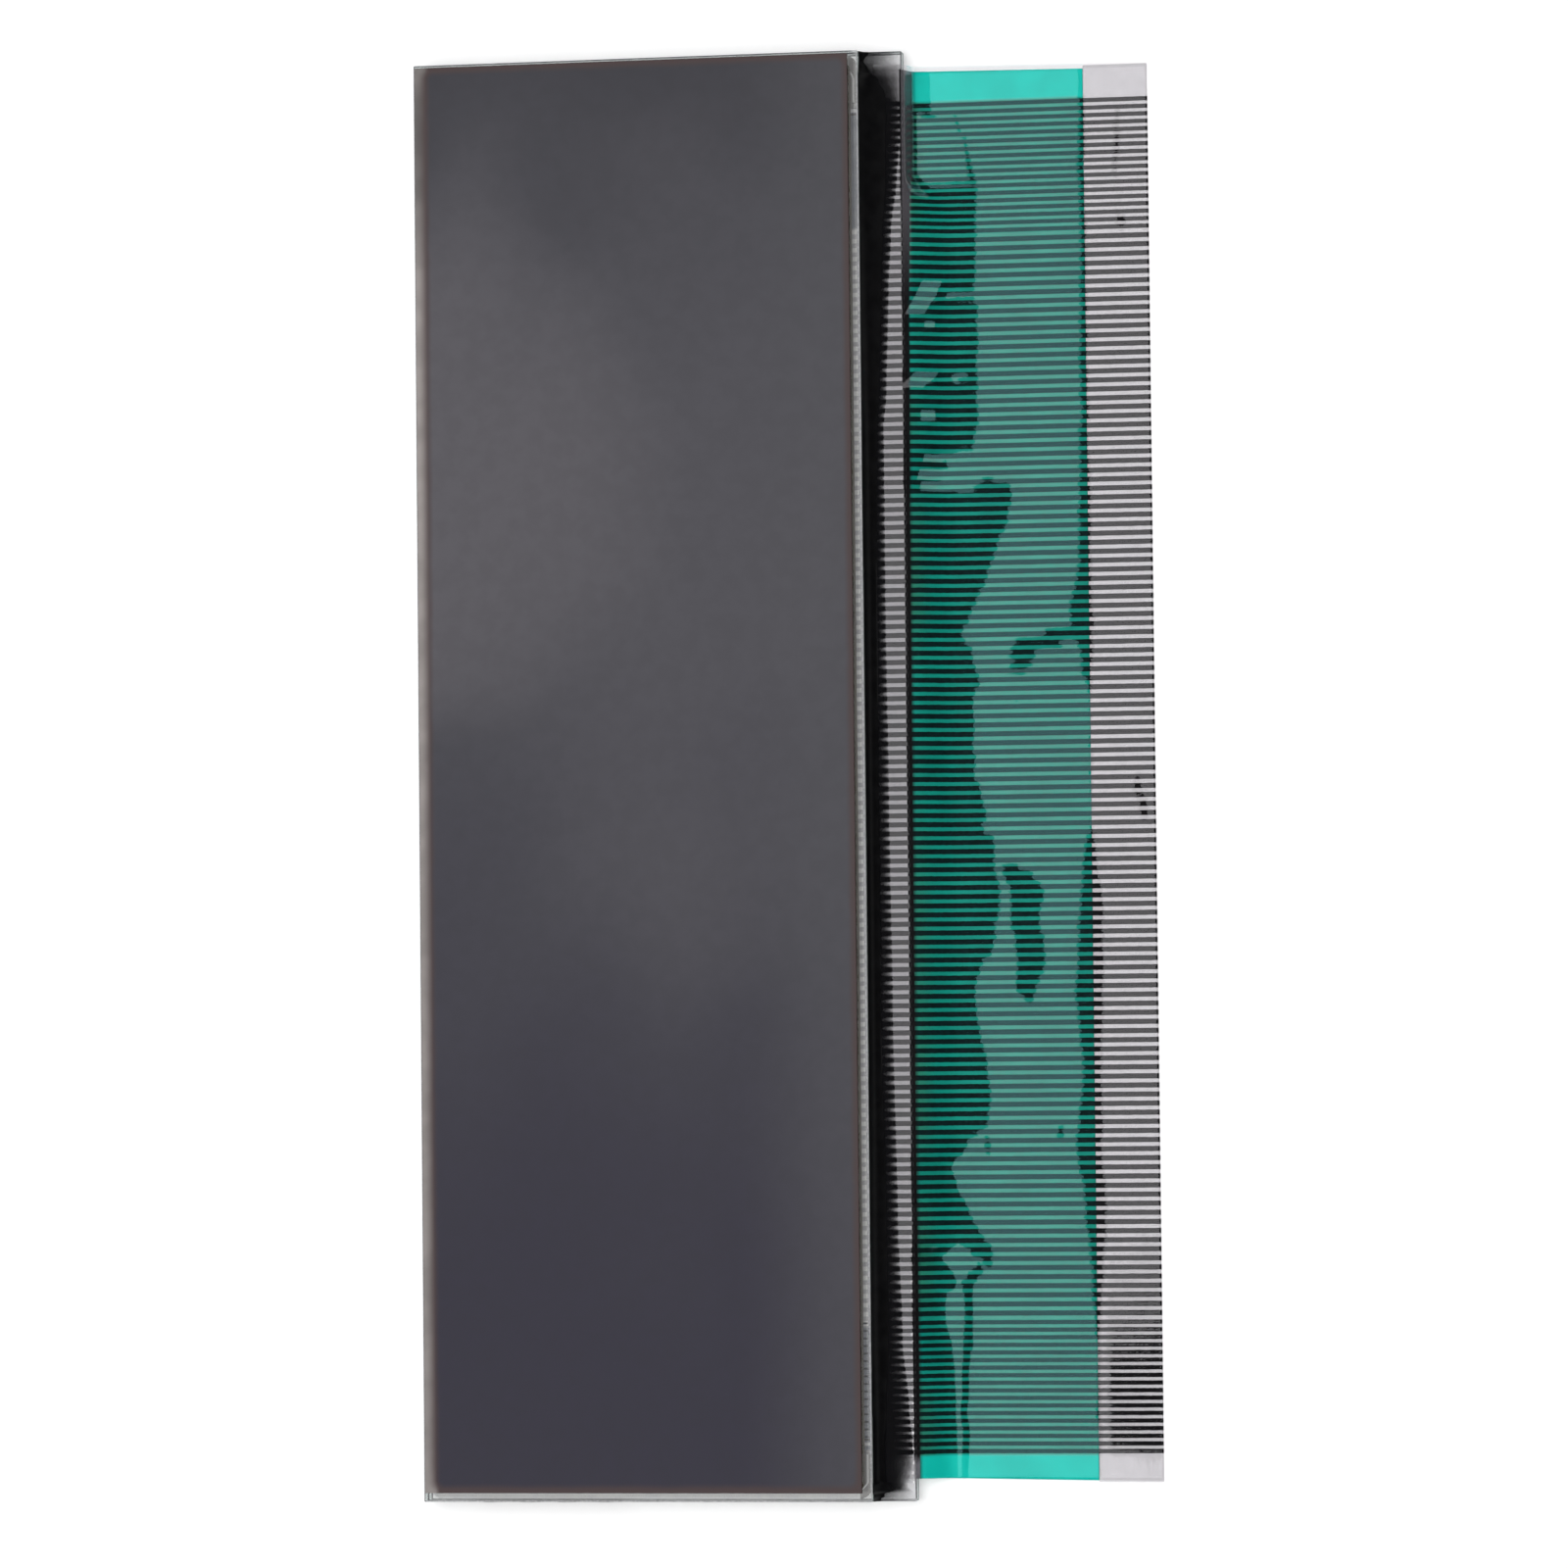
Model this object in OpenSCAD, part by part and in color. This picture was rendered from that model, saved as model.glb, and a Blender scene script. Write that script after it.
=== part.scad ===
// Bare glass liquid-crystal cell with a heat-seal ribbon bonded to its contact ledge.
// X runs from the cell's plain long edge to the ribbon's free end, Y runs along the cell and
// Z points at the viewer. The origin is the centre of the rear polarizer's outer face.

/* [Glass plates] */
// Length of both plates, along Y
glass_l = 96.4; // [60:0.1:110]
// Width of the front plate, along X
front_w = 30.3; // [20:0.1:60]
// Width of the rear plate's bare contact ledge
ledge_w = 2.8; // [2.7:0.1:5]
// Thickness of each plate
glass_t = 1.1; // [0.7:0.1:1.1]

/* [Polarizers] */
// Thickness of each polarizer film
polarizer_t = 0.18; // [0.1:0.01:0.3]
// Thickness of the adhesive that each polarizer came with
tack_t = 0.02; // [0.02:0.01:0.04]
// Bare glass beside the polarizers along the plain long edge
bare_plain_side = 0.1; // [0.1:0.05:0.5]
// Bare glass beside the polarizers along the ledge side
bare_ledge_side = 0.65; // [0.5:0.05:1]
// Bare glass beside the polarizers at the +Y end
bare_top = 0.2; // [0.1:0.05:0.6]
// Bare glass beside the polarizers at the -Y end
bare_bottom = 0.6; // [0.3:0.05:1]

/* [Cell] */
// Thickness of the electrode coats, drawn thicker than the real ones
electrode_t = 0.02; // [0.02:0.01:0.04]
// Thickness of the alignment coats, drawn thicker than the real ones
align_t = 0.01; // [0.01:0.01:0.02]
// Thickness of the liquid-crystal layer, drawn thicker than the real one
crystal_t = 0.03; // [0.03:0.01:0.06]
// Distance from the plate edges to the perimeter seal
seal_inset = 0.15; // [0.1:0.05:0.2]
// Width of the perimeter seal
seal_w = 0.5; // [0.45:0.05:0.8]
// Inner corner radius of the perimeter seal
seal_r = 0.6; // [0.3:0.1:1]
// Outer corner radius of the perimeter seal
seal_outer_r = 0.9; // [0.3:0.1:1.2]
// Distance from the plate edges to the common electrode
common_inset = 0.3; // [0.25:0.05:0.35]
// Radius of the two conductive transfer dots
transfer_r = 0.2; // [0.1:0.02:0.2]

/* [Fill port] */
// Distance from the plain long edge to the resin over the port
port_in = 3.1; // [2:0.1:8]
// Width of the opening in the seal
port_w = 8; // [6:0.5:9]
// How far the resin runs past each side of the opening
plug_lap = 1.2; // [0.8:0.1:1.5]
// Number of small bulges that the resin set in
plug_bulges = 4; // [3:1:6]
// Length of a bulge as a share of their spacing
bulge_share = 0.8; // [0.5:0.05:0.9]
// How far the bulges stand out from the glass
bulge_out = 0.09; // [0.06:0.01:0.2]
// How far the resin between the bulges stands out
smear_out = 0.03; // [0.02:0.01:0.05]
// How far the resin spreads over each plate's cut edge
smear_reach = 0.55; // [0.3:0.05:0.6]

/* [Contacts] */
// Spacing of the outer contacts
fine_pitch = 0.5; // [0.48:0.01:0.5]
// Spacing of the middle contacts
coarse_pitch = 0.6; // [0.55:0.01:0.6]
// Number of fine spacings at each end of the row
fine_n = 17; // [10:1:17]
// Width of a contact as a share of its spacing
contact_share = 0.57; // [0.45:0.01:0.65]
// Gap between the leads' ends and the ledge's edge
lead_setback = 0.1; // [0.05:0.05:0.3]

/* [Ribbon] */
// Distance from the plates' +Y end to the film
film_in_top = 1.35; // [0.5:0.05:3]
// Distance from the plates' -Y end to the film
film_in_bottom = 1.15; // [0.5:0.05:3]
// Distance from the film's +Y edge to the first trace
first_trace_in = 2.2; // [1.5:0.1:4]
// Least distance from the last trace to the film's -Y edge
last_trace_in = 2.0; // [1.5:0.1:4]
// Length of film past the ledge's edge, as it lies
film_reach = 16.3; // [12:0.1:40]
// Thickness of the film
film_t = 0.05; // [0.025:0.005:0.075]
// Thickness of the carbon traces
trace_t = 0.02; // [0.02:0.005:0.04]
// Thickness of the insulating cover coat
cover_t = 0.02; // [0.02:0.005:0.03]
// Thickness of the heat-seal adhesive
bond_t = 0.02; // [0.02:0.005:0.03]
// Length of film bonded to the ledge
bond_l = 2.0; // [1.6:0.1:2.2]
// Length along X of the film's step down off the ledge
step_run = 3.5; // [3:0.1:6]
// Distance from the ledge's edge to the cover coat
cover_start = 0.45; // [0.3:0.05:1]
// Length of bare contacts at the free end
bare_end = 4.3; // [3:0.1:6]
// Film margin left beside the cover coat at the +Y edge
cover_margin = 0.25; // [0.1:0.05:0.5]

/* [Ledge sealant] */
// Width of the bonded film that the sealant leaves in view
bond_seen = 1.35; // [1.1:0.05:1.5]
// How far the sealant climbs the front plate's cut edge
sealant_climb = 0.6; // [0.3:0.05:0.65]
// Thickness of the sealant's outer edge on the film
sealant_edge_t = 0.03; // [0.02:0.01:0.05]

/* [Hidden] */
$fn = 64;

// How far a cutting shape runs past what it cuts
overcut = 1;

// Heights of the layers, from the back to the viewer
rear_tack_z = polarizer_t;
rear_glass_z = rear_tack_z + tack_t;
cell_z = rear_glass_z + glass_t;
rear_align_z = cell_z + electrode_t;
crystal_z = rear_align_z + align_t;
front_align_z = crystal_z + crystal_t;
common_z = front_align_z + align_t;
front_glass_z = common_z + electrode_t;
front_tack_z = front_glass_z + glass_t;
front_polarizer_z = front_tack_z + tack_t;

// Outline of the polarizers, which are centred on the origin
polarizer_w = front_w - bare_plain_side - bare_ledge_side;
polarizer_l = glass_l - bare_top - bare_bottom;

// Edges of the glass plates
plain_x = -polarizer_w / 2 - bare_plain_side;
front_x = plain_x + front_w;
ledge_x = front_x + ledge_w;
bottom_y = -polarizer_l / 2 - bare_bottom;
top_y = bottom_y + glass_l;
mid_x = (plain_x + front_x) / 2;
mid_y = (bottom_y + top_y) / 2;

// Opening inside the perimeter seal
seal_in = seal_inset + seal_w;
pool_w = front_w - 2 * seal_in;
pool_l = glass_l - 2 * seal_in;
pool_x = front_x - seal_in;

// Resin over the fill port
plug_l = port_w + 2 * plug_lap;
port_x = plain_x + port_in + plug_l / 2;
bulge_pitch = plug_l / plug_bulges;
bulge_l = bulge_pitch * bulge_share;
bulge_r = (bulge_l * bulge_l / 4 + bulge_out * bulge_out) / (2 * bulge_out);

// Edges of the film across its width
film_top_y = top_y - film_in_top;
film_bottom_y = bottom_y + film_in_bottom;

// Places of the contacts, the first at the +Y end
first_y = film_top_y - first_trace_in;
row_l = first_y - film_bottom_y - last_trace_in;
coarse_n = floor((row_l - 2 * fine_n * fine_pitch) / coarse_pitch);
contact_n = 2 * fine_n + coarse_n + 1;
function contact_drop(i) =
    min(i, fine_n) * fine_pitch
    + max(0, min(i - fine_n, coarse_n)) * coarse_pitch
    + max(0, i - fine_n - coarse_n) * fine_pitch;
function contact_y(i) = first_y - contact_drop(i);
function contact_pitch(i) =
    (i <= fine_n || i >= fine_n + coarse_n) ? fine_pitch : coarse_pitch;
function contact_w(i) = contact_pitch(i) * contact_share;

// The ribbon's contact face, which is the underside of its traces
ledge_face_z = cell_z + electrode_t + bond_t;
board_face_z = bond_t;
film_x = ledge_x - bond_l;
end_x = ledge_x + film_reach;
step_drop = ledge_face_z - board_face_z;
step_angle = 2 * atan(step_drop / step_run);
step_r = step_run / (2 * sin(step_angle));
step_end_x = ledge_x + step_run;
cover_end_x = end_x - bare_end;

// Sealant width along most of the ledge, its height on the front plate and its hollow face's radius
sealant_w = ledge_w - bond_seen;
film_top_z = ledge_face_z + trace_t + film_t;
sealant_rise = front_glass_z + sealant_climb - film_top_z - sealant_edge_t;
sealant_hollow_r = (sealant_w * sealant_w + sealant_rise * sealant_rise) / (2 * sealant_rise);

// Points of the sealant's two ends: distance from the front plate, then from the plates' end
sealant_top = [[0.6, 0], [0.3, 0.5], [0.7, 1.1], [1.2, 1.7], [sealant_w, 2.8]];
sealant_bottom = [
    [sealant_w, 3.8], [ledge_w - 0.3, 2.9], [ledge_w - 0.7, 1.7], [ledge_w - 1.1, 0.8], [0.4, 0.3], [0.3, 0]
];
sealant_reach = ledge_w - 0.2;

// Flat layer between two heights, over an X and Y range
module layer(x0, x1, y0, y1, z0, z1) {
    translate([x0, y0, z0]) cube([x1 - x0, y1 - y0, z1 - z0]);
}

module polarizer_sheet(z0, z1) {
    layer(-polarizer_w / 2, polarizer_w / 2, -polarizer_l / 2, polarizer_l / 2, z0, z1);
}

module round_rect(w, l, r) {
    square([w - 2 * r, l], center = true);
    square([w, l - 2 * r], center = true);
    for (sx = [-1, 1], sy = [-1, 1])
        translate([sx * (w / 2 - r), sy * (l / 2 - r)]) circle(r);
}

// Layer that fills the opening inside the seal
module pool_layer(z0, z1) {
    translate([mid_x, mid_y, z0])
        linear_extrude(z1 - z0) round_rect(pool_w, pool_l, seal_r);
}

module port_box() {
    layer(port_x - port_w / 2, port_x + port_w / 2, bottom_y, bottom_y + seal_in, cell_z, front_glass_z);
}

module leads() {
    for (i = [0 : contact_n - 1])
        translate([pool_x, contact_y(i) - contact_w(i) / 2, cell_z])
            cube([ledge_x - lead_setback - pool_x, contact_w(i), electrode_t]);
}

module common_sheet() {
    layer(plain_x + common_inset, front_x - common_inset, bottom_y + common_inset,
          top_y - common_inset, common_z, front_glass_z);
}

module dots() {
    for (i = [0, contact_n - 1])
        translate([front_x - seal_inset - seal_w / 2, contact_y(i), rear_align_z])
            cylinder(r = transfer_r, h = common_z - rear_align_z);
}

// Side view of the ribbon between two levels above its contact face. It lies on the ledge, curls
// down over the edge, curls back and lies flat to its free end.
module ribbon_profile(lo, hi) {
    translate([film_x, ledge_face_z + lo]) square([bond_l, hi - lo]);
    translate([step_end_x, board_face_z + lo]) square([end_x - step_end_x, hi - lo]);
    translate([ledge_x, ledge_face_z - step_r])
        intersection() {
            difference() {
                circle(step_r + hi);
                circle(step_r + lo);
            }
            polygon([[0, 0], [0, 2 * step_r], 2 * step_r * [sin(step_angle), cos(step_angle)]]);
        }
    translate([step_end_x, board_face_z + step_r])
        intersection() {
            difference() {
                circle(step_r - lo);
                circle(step_r - hi);
            }
            polygon([[0, 0], [0, -2 * step_r], -2 * step_r * [sin(step_angle), cos(step_angle)]]);
        }
}

// Turns a side view into a strip that spans a Y range
module across(y0, y1) {
    translate([0, y1, 0]) rotate([90, 0, 0]) linear_extrude(y1 - y0) children();
}

module film_on_ledge() {
    layer(film_x, ledge_x, film_bottom_y, film_top_y, cell_z, film_top_z);
}

module sealant_outline() {
    polygon(concat(
        [[front_x, top_y]],
        [for (p = sealant_top) [front_x + p[0], top_y - p[1]]],
        [for (p = sealant_bottom) [front_x + p[0], bottom_y + p[1]]],
        [[front_x, bottom_y]]
    ));
}

module sealant_profile() {
    edge_z = film_top_z + sealant_edge_t;
    difference() {
        translate([front_x, cell_z]) square([sealant_reach, edge_z + sealant_rise - cell_z]);
        translate([front_x + sealant_w, edge_z + sealant_hollow_r]) circle(sealant_hollow_r);
        translate([front_x + sealant_w, edge_z]) square([sealant_reach, sealant_rise + overcut]);
    }
}

module rear_polarizer() {
    color("#4a484c") polarizer_sheet(0, polarizer_t);
}

module rear_polarizer_adhesive() {
    color("#e6e6e0") polarizer_sheet(rear_tack_z, rear_glass_z);
}

module rear_glass() {
    color("#c9d6d2", 0.6) layer(plain_x, ledge_x, bottom_y, top_y, rear_glass_z, cell_z);
}

module segment_electrodes() {
    color("#d8d4b8") pool_layer(cell_z, rear_align_z);
}

module contact_leads() {
    color("#cfcbb0") leads();
}

module rear_alignment_layer() {
    color("#e8dca8") pool_layer(rear_align_z, crystal_z);
}

module liquid_crystal() {
    color("#5a585e") pool_layer(crystal_z, front_align_z);
}

module front_alignment_layer() {
    color("#e8dca8") pool_layer(front_align_z, common_z);
}

module common_electrode() {
    color("#d8d4b8") common_sheet();
}

module transfer_dots() {
    color("#b4b4b4") dots();
}

module perimeter_seal() {
    color("#8c8a86")
        difference() {
            translate([mid_x, mid_y, cell_z])
                linear_extrude(front_glass_z - cell_z)
                    round_rect(front_w - 2 * seal_inset, glass_l - 2 * seal_inset, seal_outer_r);
            pool_layer(cell_z - overcut, common_z);
            common_sheet();
            leads();
            dots();
            port_box();
        }
}

module fill_port_plug() {
    smear_z = cell_z - smear_reach;
    smear_h = front_glass_z + smear_reach - smear_z;
    color("#8f8d80") {
        difference() {
            port_box();
            common_sheet();
        }
        layer(port_x - plug_l / 2, port_x + plug_l / 2, bottom_y - smear_out, bottom_y,
              smear_z, smear_z + smear_h);
        for (i = [0 : plug_bulges - 1])
            translate([port_x + (i - (plug_bulges - 1) / 2) * bulge_pitch, bottom_y, smear_z])
                linear_extrude(smear_h)
                    intersection() {
                        translate([0, bulge_r - bulge_out]) circle(bulge_r, $fn = 256);
                        translate([-bulge_l / 2, -bulge_out]) square([bulge_l, bulge_out]);
                    }
    }
}

module front_glass() {
    color("#c9d6d2", 0.6) layer(plain_x, front_x, bottom_y, top_y, front_glass_z, front_tack_z);
}

module front_polarizer_adhesive() {
    color("#e6e6e0") polarizer_sheet(front_tack_z, front_polarizer_z);
}

module front_polarizer() {
    color("#504e54") polarizer_sheet(front_polarizer_z, front_polarizer_z + polarizer_t);
}

module ledge_bond_adhesive() {
    color("#d9d4c4")
        difference() {
            layer(film_x, ledge_x, film_bottom_y, film_top_y, cell_z, ledge_face_z);
            leads();
        }
}

module ribbon_traces() {
    color("#4c4a48")
        for (i = [0 : contact_n - 1])
            across(contact_y(i) - contact_w(i) / 2, contact_y(i) + contact_w(i) / 2)
                ribbon_profile(0, trace_t);
}

module ribbon_film() {
    color("#d2d0d2", 0.5)
        across(film_bottom_y, film_top_y) ribbon_profile(trace_t, trace_t + film_t);
}

module ribbon_cover_coat() {
    color("#1fb39c")
        across(film_bottom_y, film_top_y - cover_margin)
            intersection() {
                ribbon_profile(-cover_t, 0);
                translate([ledge_x + cover_start, -overcut])
                    square([cover_end_x - ledge_x - cover_start, ledge_face_z + overcut]);
            }
}

module board_end_adhesive() {
    color("#d9d4c4")
        layer(cover_end_x, end_x, film_bottom_y, film_top_y, 0, board_face_z);
}

module ledge_sealant() {
    color("#141414")
        difference() {
            intersection() {
                translate([0, 0, cell_z]) linear_extrude(glass_t + overcut) sealant_outline();
                across(bottom_y, top_y) sealant_profile();
            }
            film_on_ledge();
            leads();
        }
}

rear_polarizer();
rear_polarizer_adhesive();
rear_glass();
segment_electrodes();
contact_leads();
rear_alignment_layer();
liquid_crystal();
front_alignment_layer();
common_electrode();
transfer_dots();
perimeter_seal();
fill_port_plug();
front_glass();
front_polarizer_adhesive();
front_polarizer();
ledge_bond_adhesive();
ribbon_traces();
ribbon_film();
ribbon_cover_coat();
board_end_adhesive();
ledge_sealant();
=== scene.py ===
import math
import random

import bpy
import numpy as np
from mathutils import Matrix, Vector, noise


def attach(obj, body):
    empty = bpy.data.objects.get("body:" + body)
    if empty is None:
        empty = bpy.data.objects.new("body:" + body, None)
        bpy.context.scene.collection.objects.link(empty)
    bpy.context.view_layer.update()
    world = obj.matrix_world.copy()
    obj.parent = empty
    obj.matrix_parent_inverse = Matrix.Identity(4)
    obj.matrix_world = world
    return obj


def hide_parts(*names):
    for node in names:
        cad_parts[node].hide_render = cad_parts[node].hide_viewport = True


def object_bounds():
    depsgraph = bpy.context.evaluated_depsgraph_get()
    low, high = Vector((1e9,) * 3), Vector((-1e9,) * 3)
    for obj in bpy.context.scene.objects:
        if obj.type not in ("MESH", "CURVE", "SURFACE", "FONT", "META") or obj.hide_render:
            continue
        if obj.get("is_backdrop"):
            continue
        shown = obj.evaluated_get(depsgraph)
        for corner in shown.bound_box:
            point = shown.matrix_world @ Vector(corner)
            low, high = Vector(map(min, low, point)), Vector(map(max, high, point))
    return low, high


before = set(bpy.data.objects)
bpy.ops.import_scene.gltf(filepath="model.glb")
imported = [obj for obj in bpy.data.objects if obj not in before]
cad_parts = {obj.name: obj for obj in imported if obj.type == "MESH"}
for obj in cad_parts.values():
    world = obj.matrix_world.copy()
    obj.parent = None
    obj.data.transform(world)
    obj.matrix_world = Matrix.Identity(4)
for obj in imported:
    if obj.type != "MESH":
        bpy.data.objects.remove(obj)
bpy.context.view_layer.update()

scene = bpy.context.scene

# Studio view. The display lies face up on a white table and the camera looks down on it, leaning
# about ten degrees over the ribbon's side, so the ribbon's lower edge walls just show.
MM = 0.001
view_lens = bpy.data.cameras.new("view_camera")
view_lens.sensor_width = 36
view_lens.lens = 154.07
view_lens.clip_start = 0.01
view_lens.clip_end = 20
view_camera = bpy.data.objects.new("view_camera", view_lens)
view_camera.location = (86.960 * MM, -19.809 * MM, 441.174 * MM)
view_camera.rotation_euler = [math.radians(a) for a in (2.3371, 9.9750, -0.5833)]
scene.collection.objects.link(view_camera)
scene.camera = view_camera
scene.view_settings.view_transform = "Standard"


def put(tree, kind, inputs=None, **settings):
    node = tree.nodes.new(kind)
    for key, value in settings.items():
        setattr(node, key, value)
    for key, value in (inputs or {}).items():
        socket = node.inputs[key]
        if isinstance(value, bpy.types.NodeSocket):
            tree.links.new(value, socket)
        else:
            socket.default_value = value
    return node


def calc(tree, sum_kind, *terms):
    inputs = {k: v for k, v in enumerate(terms)}
    return put(tree, "ShaderNodeMath", inputs, operation=sum_kind).outputs[0]


# White walls at table height under a dim ceiling: gloss on level faces mirrors only the softbox.
studio = bpy.data.worlds.new("studio")
scene.world = studio
studio.use_nodes = True
sky = studio.node_tree
sky.nodes.clear()
look_way = put(sky, "ShaderNodeTexCoord").outputs["Generated"]
look_up = put(sky, "ShaderNodeSeparateXYZ", {0: look_way}).outputs["Z"]
wall_fade = put(sky, "ShaderNodeMapRange", {"Value": look_up, "From Min": 0.06, "From Max": 0.22,
                                            "To Min": 1.0, "To Max": 0.03}).outputs[0]
wall_light = put(sky, "ShaderNodeBackground", {"Color": (1, 1, 1, 1), "Strength": wall_fade})
sky_out = put(sky, "ShaderNodeOutputWorld", {"Surface": wall_light.outputs[0]})


def hang_lamp(name, size, place, watts, in_gloss, tint=(1, 1, 1)):
    lamp = bpy.data.lights.new(name, "AREA")
    lamp.shape = "RECTANGLE"
    lamp.size, lamp.size_y = size
    lamp.energy = watts
    lamp.color = tint
    holder = bpy.data.objects.new(name, lamp)
    holder.location = place
    holder.visible_glossy = in_gloss
    scene.collection.objects.link(holder)
    return holder


# The softbox hangs level, and its edge lies just beyond where the level film mirrors it.
hang_lamp("softbox", (0.62, 1.00), (-0.330, 0.03, 0.60), 3.1, True, (1.0, 0.985, 1.0))
hang_lamp("ceiling_fill", (1.30, 1.30), (0.10, 0.0, 1.10), 8.3, False)

# The table is a white board that keeps the object's shadow.
TABLE_DROP = 0.02
table_mesh = bpy.data.meshes.new("table")
half = 4.0
table_mesh.from_pydata([(-half, -half, 0), (half, -half, 0), (half, half, 0), (-half, half, 0)], [],
                       [(0, 1, 2, 3)])
table = bpy.data.objects.new("table", table_mesh)
table.location.z = -TABLE_DROP * MM
scene.collection.objects.link(table)
table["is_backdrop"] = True
table_paint = bpy.data.materials.new("table_white")
table_paint.use_nodes = True
tree = table_paint.node_tree
tree.nodes.clear()
rays = put(tree, "ShaderNodeLightPath")
seen = calc(tree, "MAXIMUM", rays.outputs["Is Camera Ray"], rays.outputs["Is Glossy Ray"])
seen = calc(tree, "MAXIMUM", seen, rays.outputs["Is Transmission Ray"])
lift = calc(tree, "MULTIPLY", seen, 0.30)
board = put(tree, "ShaderNodeBsdfDiffuse", {"Color": (0.88, 0.88, 0.88, 1)})
glow = put(tree, "ShaderNodeEmission", {"Color": (1, 1, 1, 1), "Strength": lift})
both = put(tree, "ShaderNodeAddShader", {0: board.outputs[0], 1: glow.outputs[0]})
put(tree, "ShaderNodeOutputMaterial", {"Surface": both.outputs[0]})
table_mesh.materials.append(table_paint)

# Rear polarizer. A stretched dark plastic film, laminated to the back of the rear plate with the
# clear adhesive it came with. It is cut square, and its cut edge is slightly rounded.
POLARIZER_W, POLARIZER_L = 29.55, 95.6
PLAIN_X, FRONT_X, LEDGE_X = -14.875, 15.425, 18.225
TOP_Y, BOTTOM_Y = 48.0, -48.4
GAP = 0.002


def paint(red, green, blue):
    def light(c):
        c = c / 255
        return c / 12.92 if c <= 0.04045 else ((c + 0.055) / 1.055) ** 2.4
    return (light(red), light(green), light(blue), 1.0)


def new_finish(name):
    material = bpy.data.materials.new(name)
    material.use_nodes = True
    material.node_tree.nodes.clear()
    return material, material.node_tree


def place_of(tree):
    spot = put(tree, "ShaderNodeTexCoord").outputs["Object"]
    parts = put(tree, "ShaderNodeSeparateXYZ", {0: spot})
    return [calc(tree, "MULTIPLY", parts.outputs[k], 1000.0) for k in range(3)], spot


def cloud(tree, spot, per_mm, detail=2.0, stretch=(1, 1, 1)):
    size = put(tree, "ShaderNodeVectorMath", {0: spot, 1: [1000.0 * s for s in stretch]},
               operation="MULTIPLY").outputs[0]
    grain = put(tree, "ShaderNodeTexNoise", {"Vector": size, "Scale": per_mm, "Detail": detail})
    return grain.outputs["Fac"]


def ramp(tree, value, low, high, out_low=0.0, out_high=1.0):
    return put(tree, "ShaderNodeMapRange", {"Value": value, "From Min": low, "From Max": high,
                                            "To Min": out_low, "To Max": out_high},
               interpolation_type="SMOOTHSTEP").outputs[0]


def blend(tree, share, first, second):
    mix = put(tree, "ShaderNodeMix", data_type="RGBA")
    for socket, value in ((mix.inputs[0], share), (mix.inputs[6], first), (mix.inputs[7], second)):
        if isinstance(value, bpy.types.NodeSocket):
            tree.links.new(value, socket)
        else:
            socket.default_value = value
    return mix.outputs[2]


def rounded_inside(tree, x, y, centre, half_size, radius):
    # Distance in millimetres inside a rounded rectangle, negative outside it
    qx = calc(tree, "SUBTRACT", calc(tree, "ABSOLUTE", calc(tree, "SUBTRACT", x, centre[0])),
              half_size[0] - radius)
    qy = calc(tree, "SUBTRACT", calc(tree, "ABSOLUTE", calc(tree, "SUBTRACT", y, centre[1])),
              half_size[1] - radius)
    px = calc(tree, "MAXIMUM", qx, 0.0)
    py = calc(tree, "MAXIMUM", qy, 0.0)
    far = calc(tree, "SQRT", calc(tree, "ADD", calc(tree, "MULTIPLY", px, px),
                                  calc(tree, "MULTIPLY", py, py)))
    near = calc(tree, "MINIMUM", calc(tree, "MAXIMUM", qx, qy), 0.0)
    return calc(tree, "SUBTRACT", radius, calc(tree, "ADD", far, near))


def finish_piece(name, points, faces, finishes, face_finish=None, smooth=False):
    mesh = bpy.data.meshes.new(name)
    mesh.from_pydata([(x * MM, y * MM, z * MM) for x, y, z in points], [], faces)
    for finish in finishes:
        mesh.materials.append(finish)
    if face_finish is not None:
        mesh.polygons.foreach_set("material_index", face_finish)
    mesh.polygons.foreach_set("use_smooth", [smooth] * len(mesh.polygons))
    mesh.update()
    piece = bpy.data.objects.new(name, mesh)
    scene.collection.objects.link(piece)
    return piece


def fit(piece, finish_slot, *nodes):
    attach(piece, "root")
    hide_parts(*nodes)
    return piece


def outline(x0, x1, y0, y1, radius, inset, step=1.0, wander=0.0, seed=0.0):
    # Points round a sheet's edge, anticlockwise, every step or so along the sides
    points = []
    r = max(radius - inset, 0.0)
    corners = [(x1 - inset - r, y0 + inset + r, -90), (x1 - inset - r, y1 - inset - r, 0),
               (x0 + inset + r, y1 - inset - r, 90), (x0 + inset + r, y0 + inset + r, 180)]
    for k, (cx, cy, start) in enumerate(corners):
        for a in range(0, 91, 15):
            turn = math.radians(start + a)
            points.append((cx + r * math.cos(turn), cy + r * math.sin(turn)))
        nx, ny, nstart = corners[(k + 1) % 4]
        turn = math.radians(nstart)
        end = (nx + r * math.cos(turn), ny + r * math.sin(turn))
        here = points[-1]
        run = math.dist(here, end)
        count = max(int(run / step), 1)
        for j in range(1, count):
            points.append((here[0] + (end[0] - here[0]) * j / count,
                           here[1] + (end[1] - here[1]) * j / count))
    if wander:
        mid_x, mid_y = (x0 + x1) / 2, (y0 + y1) / 2
        moved = []
        for x, y in points:
            pull = wander * (0.5 + noise.noise((x * 0.9 + seed, y * 0.9, seed)))
            sx = -pull if x > mid_x else pull
            sy = -pull if y > mid_y else pull
            near_x = min(x - x0, x1 - x) < min(y - y0, y1 - y)
            moved.append((x + sx, y) if near_x else (x, y + sy))
        points = moved
    return points


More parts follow.
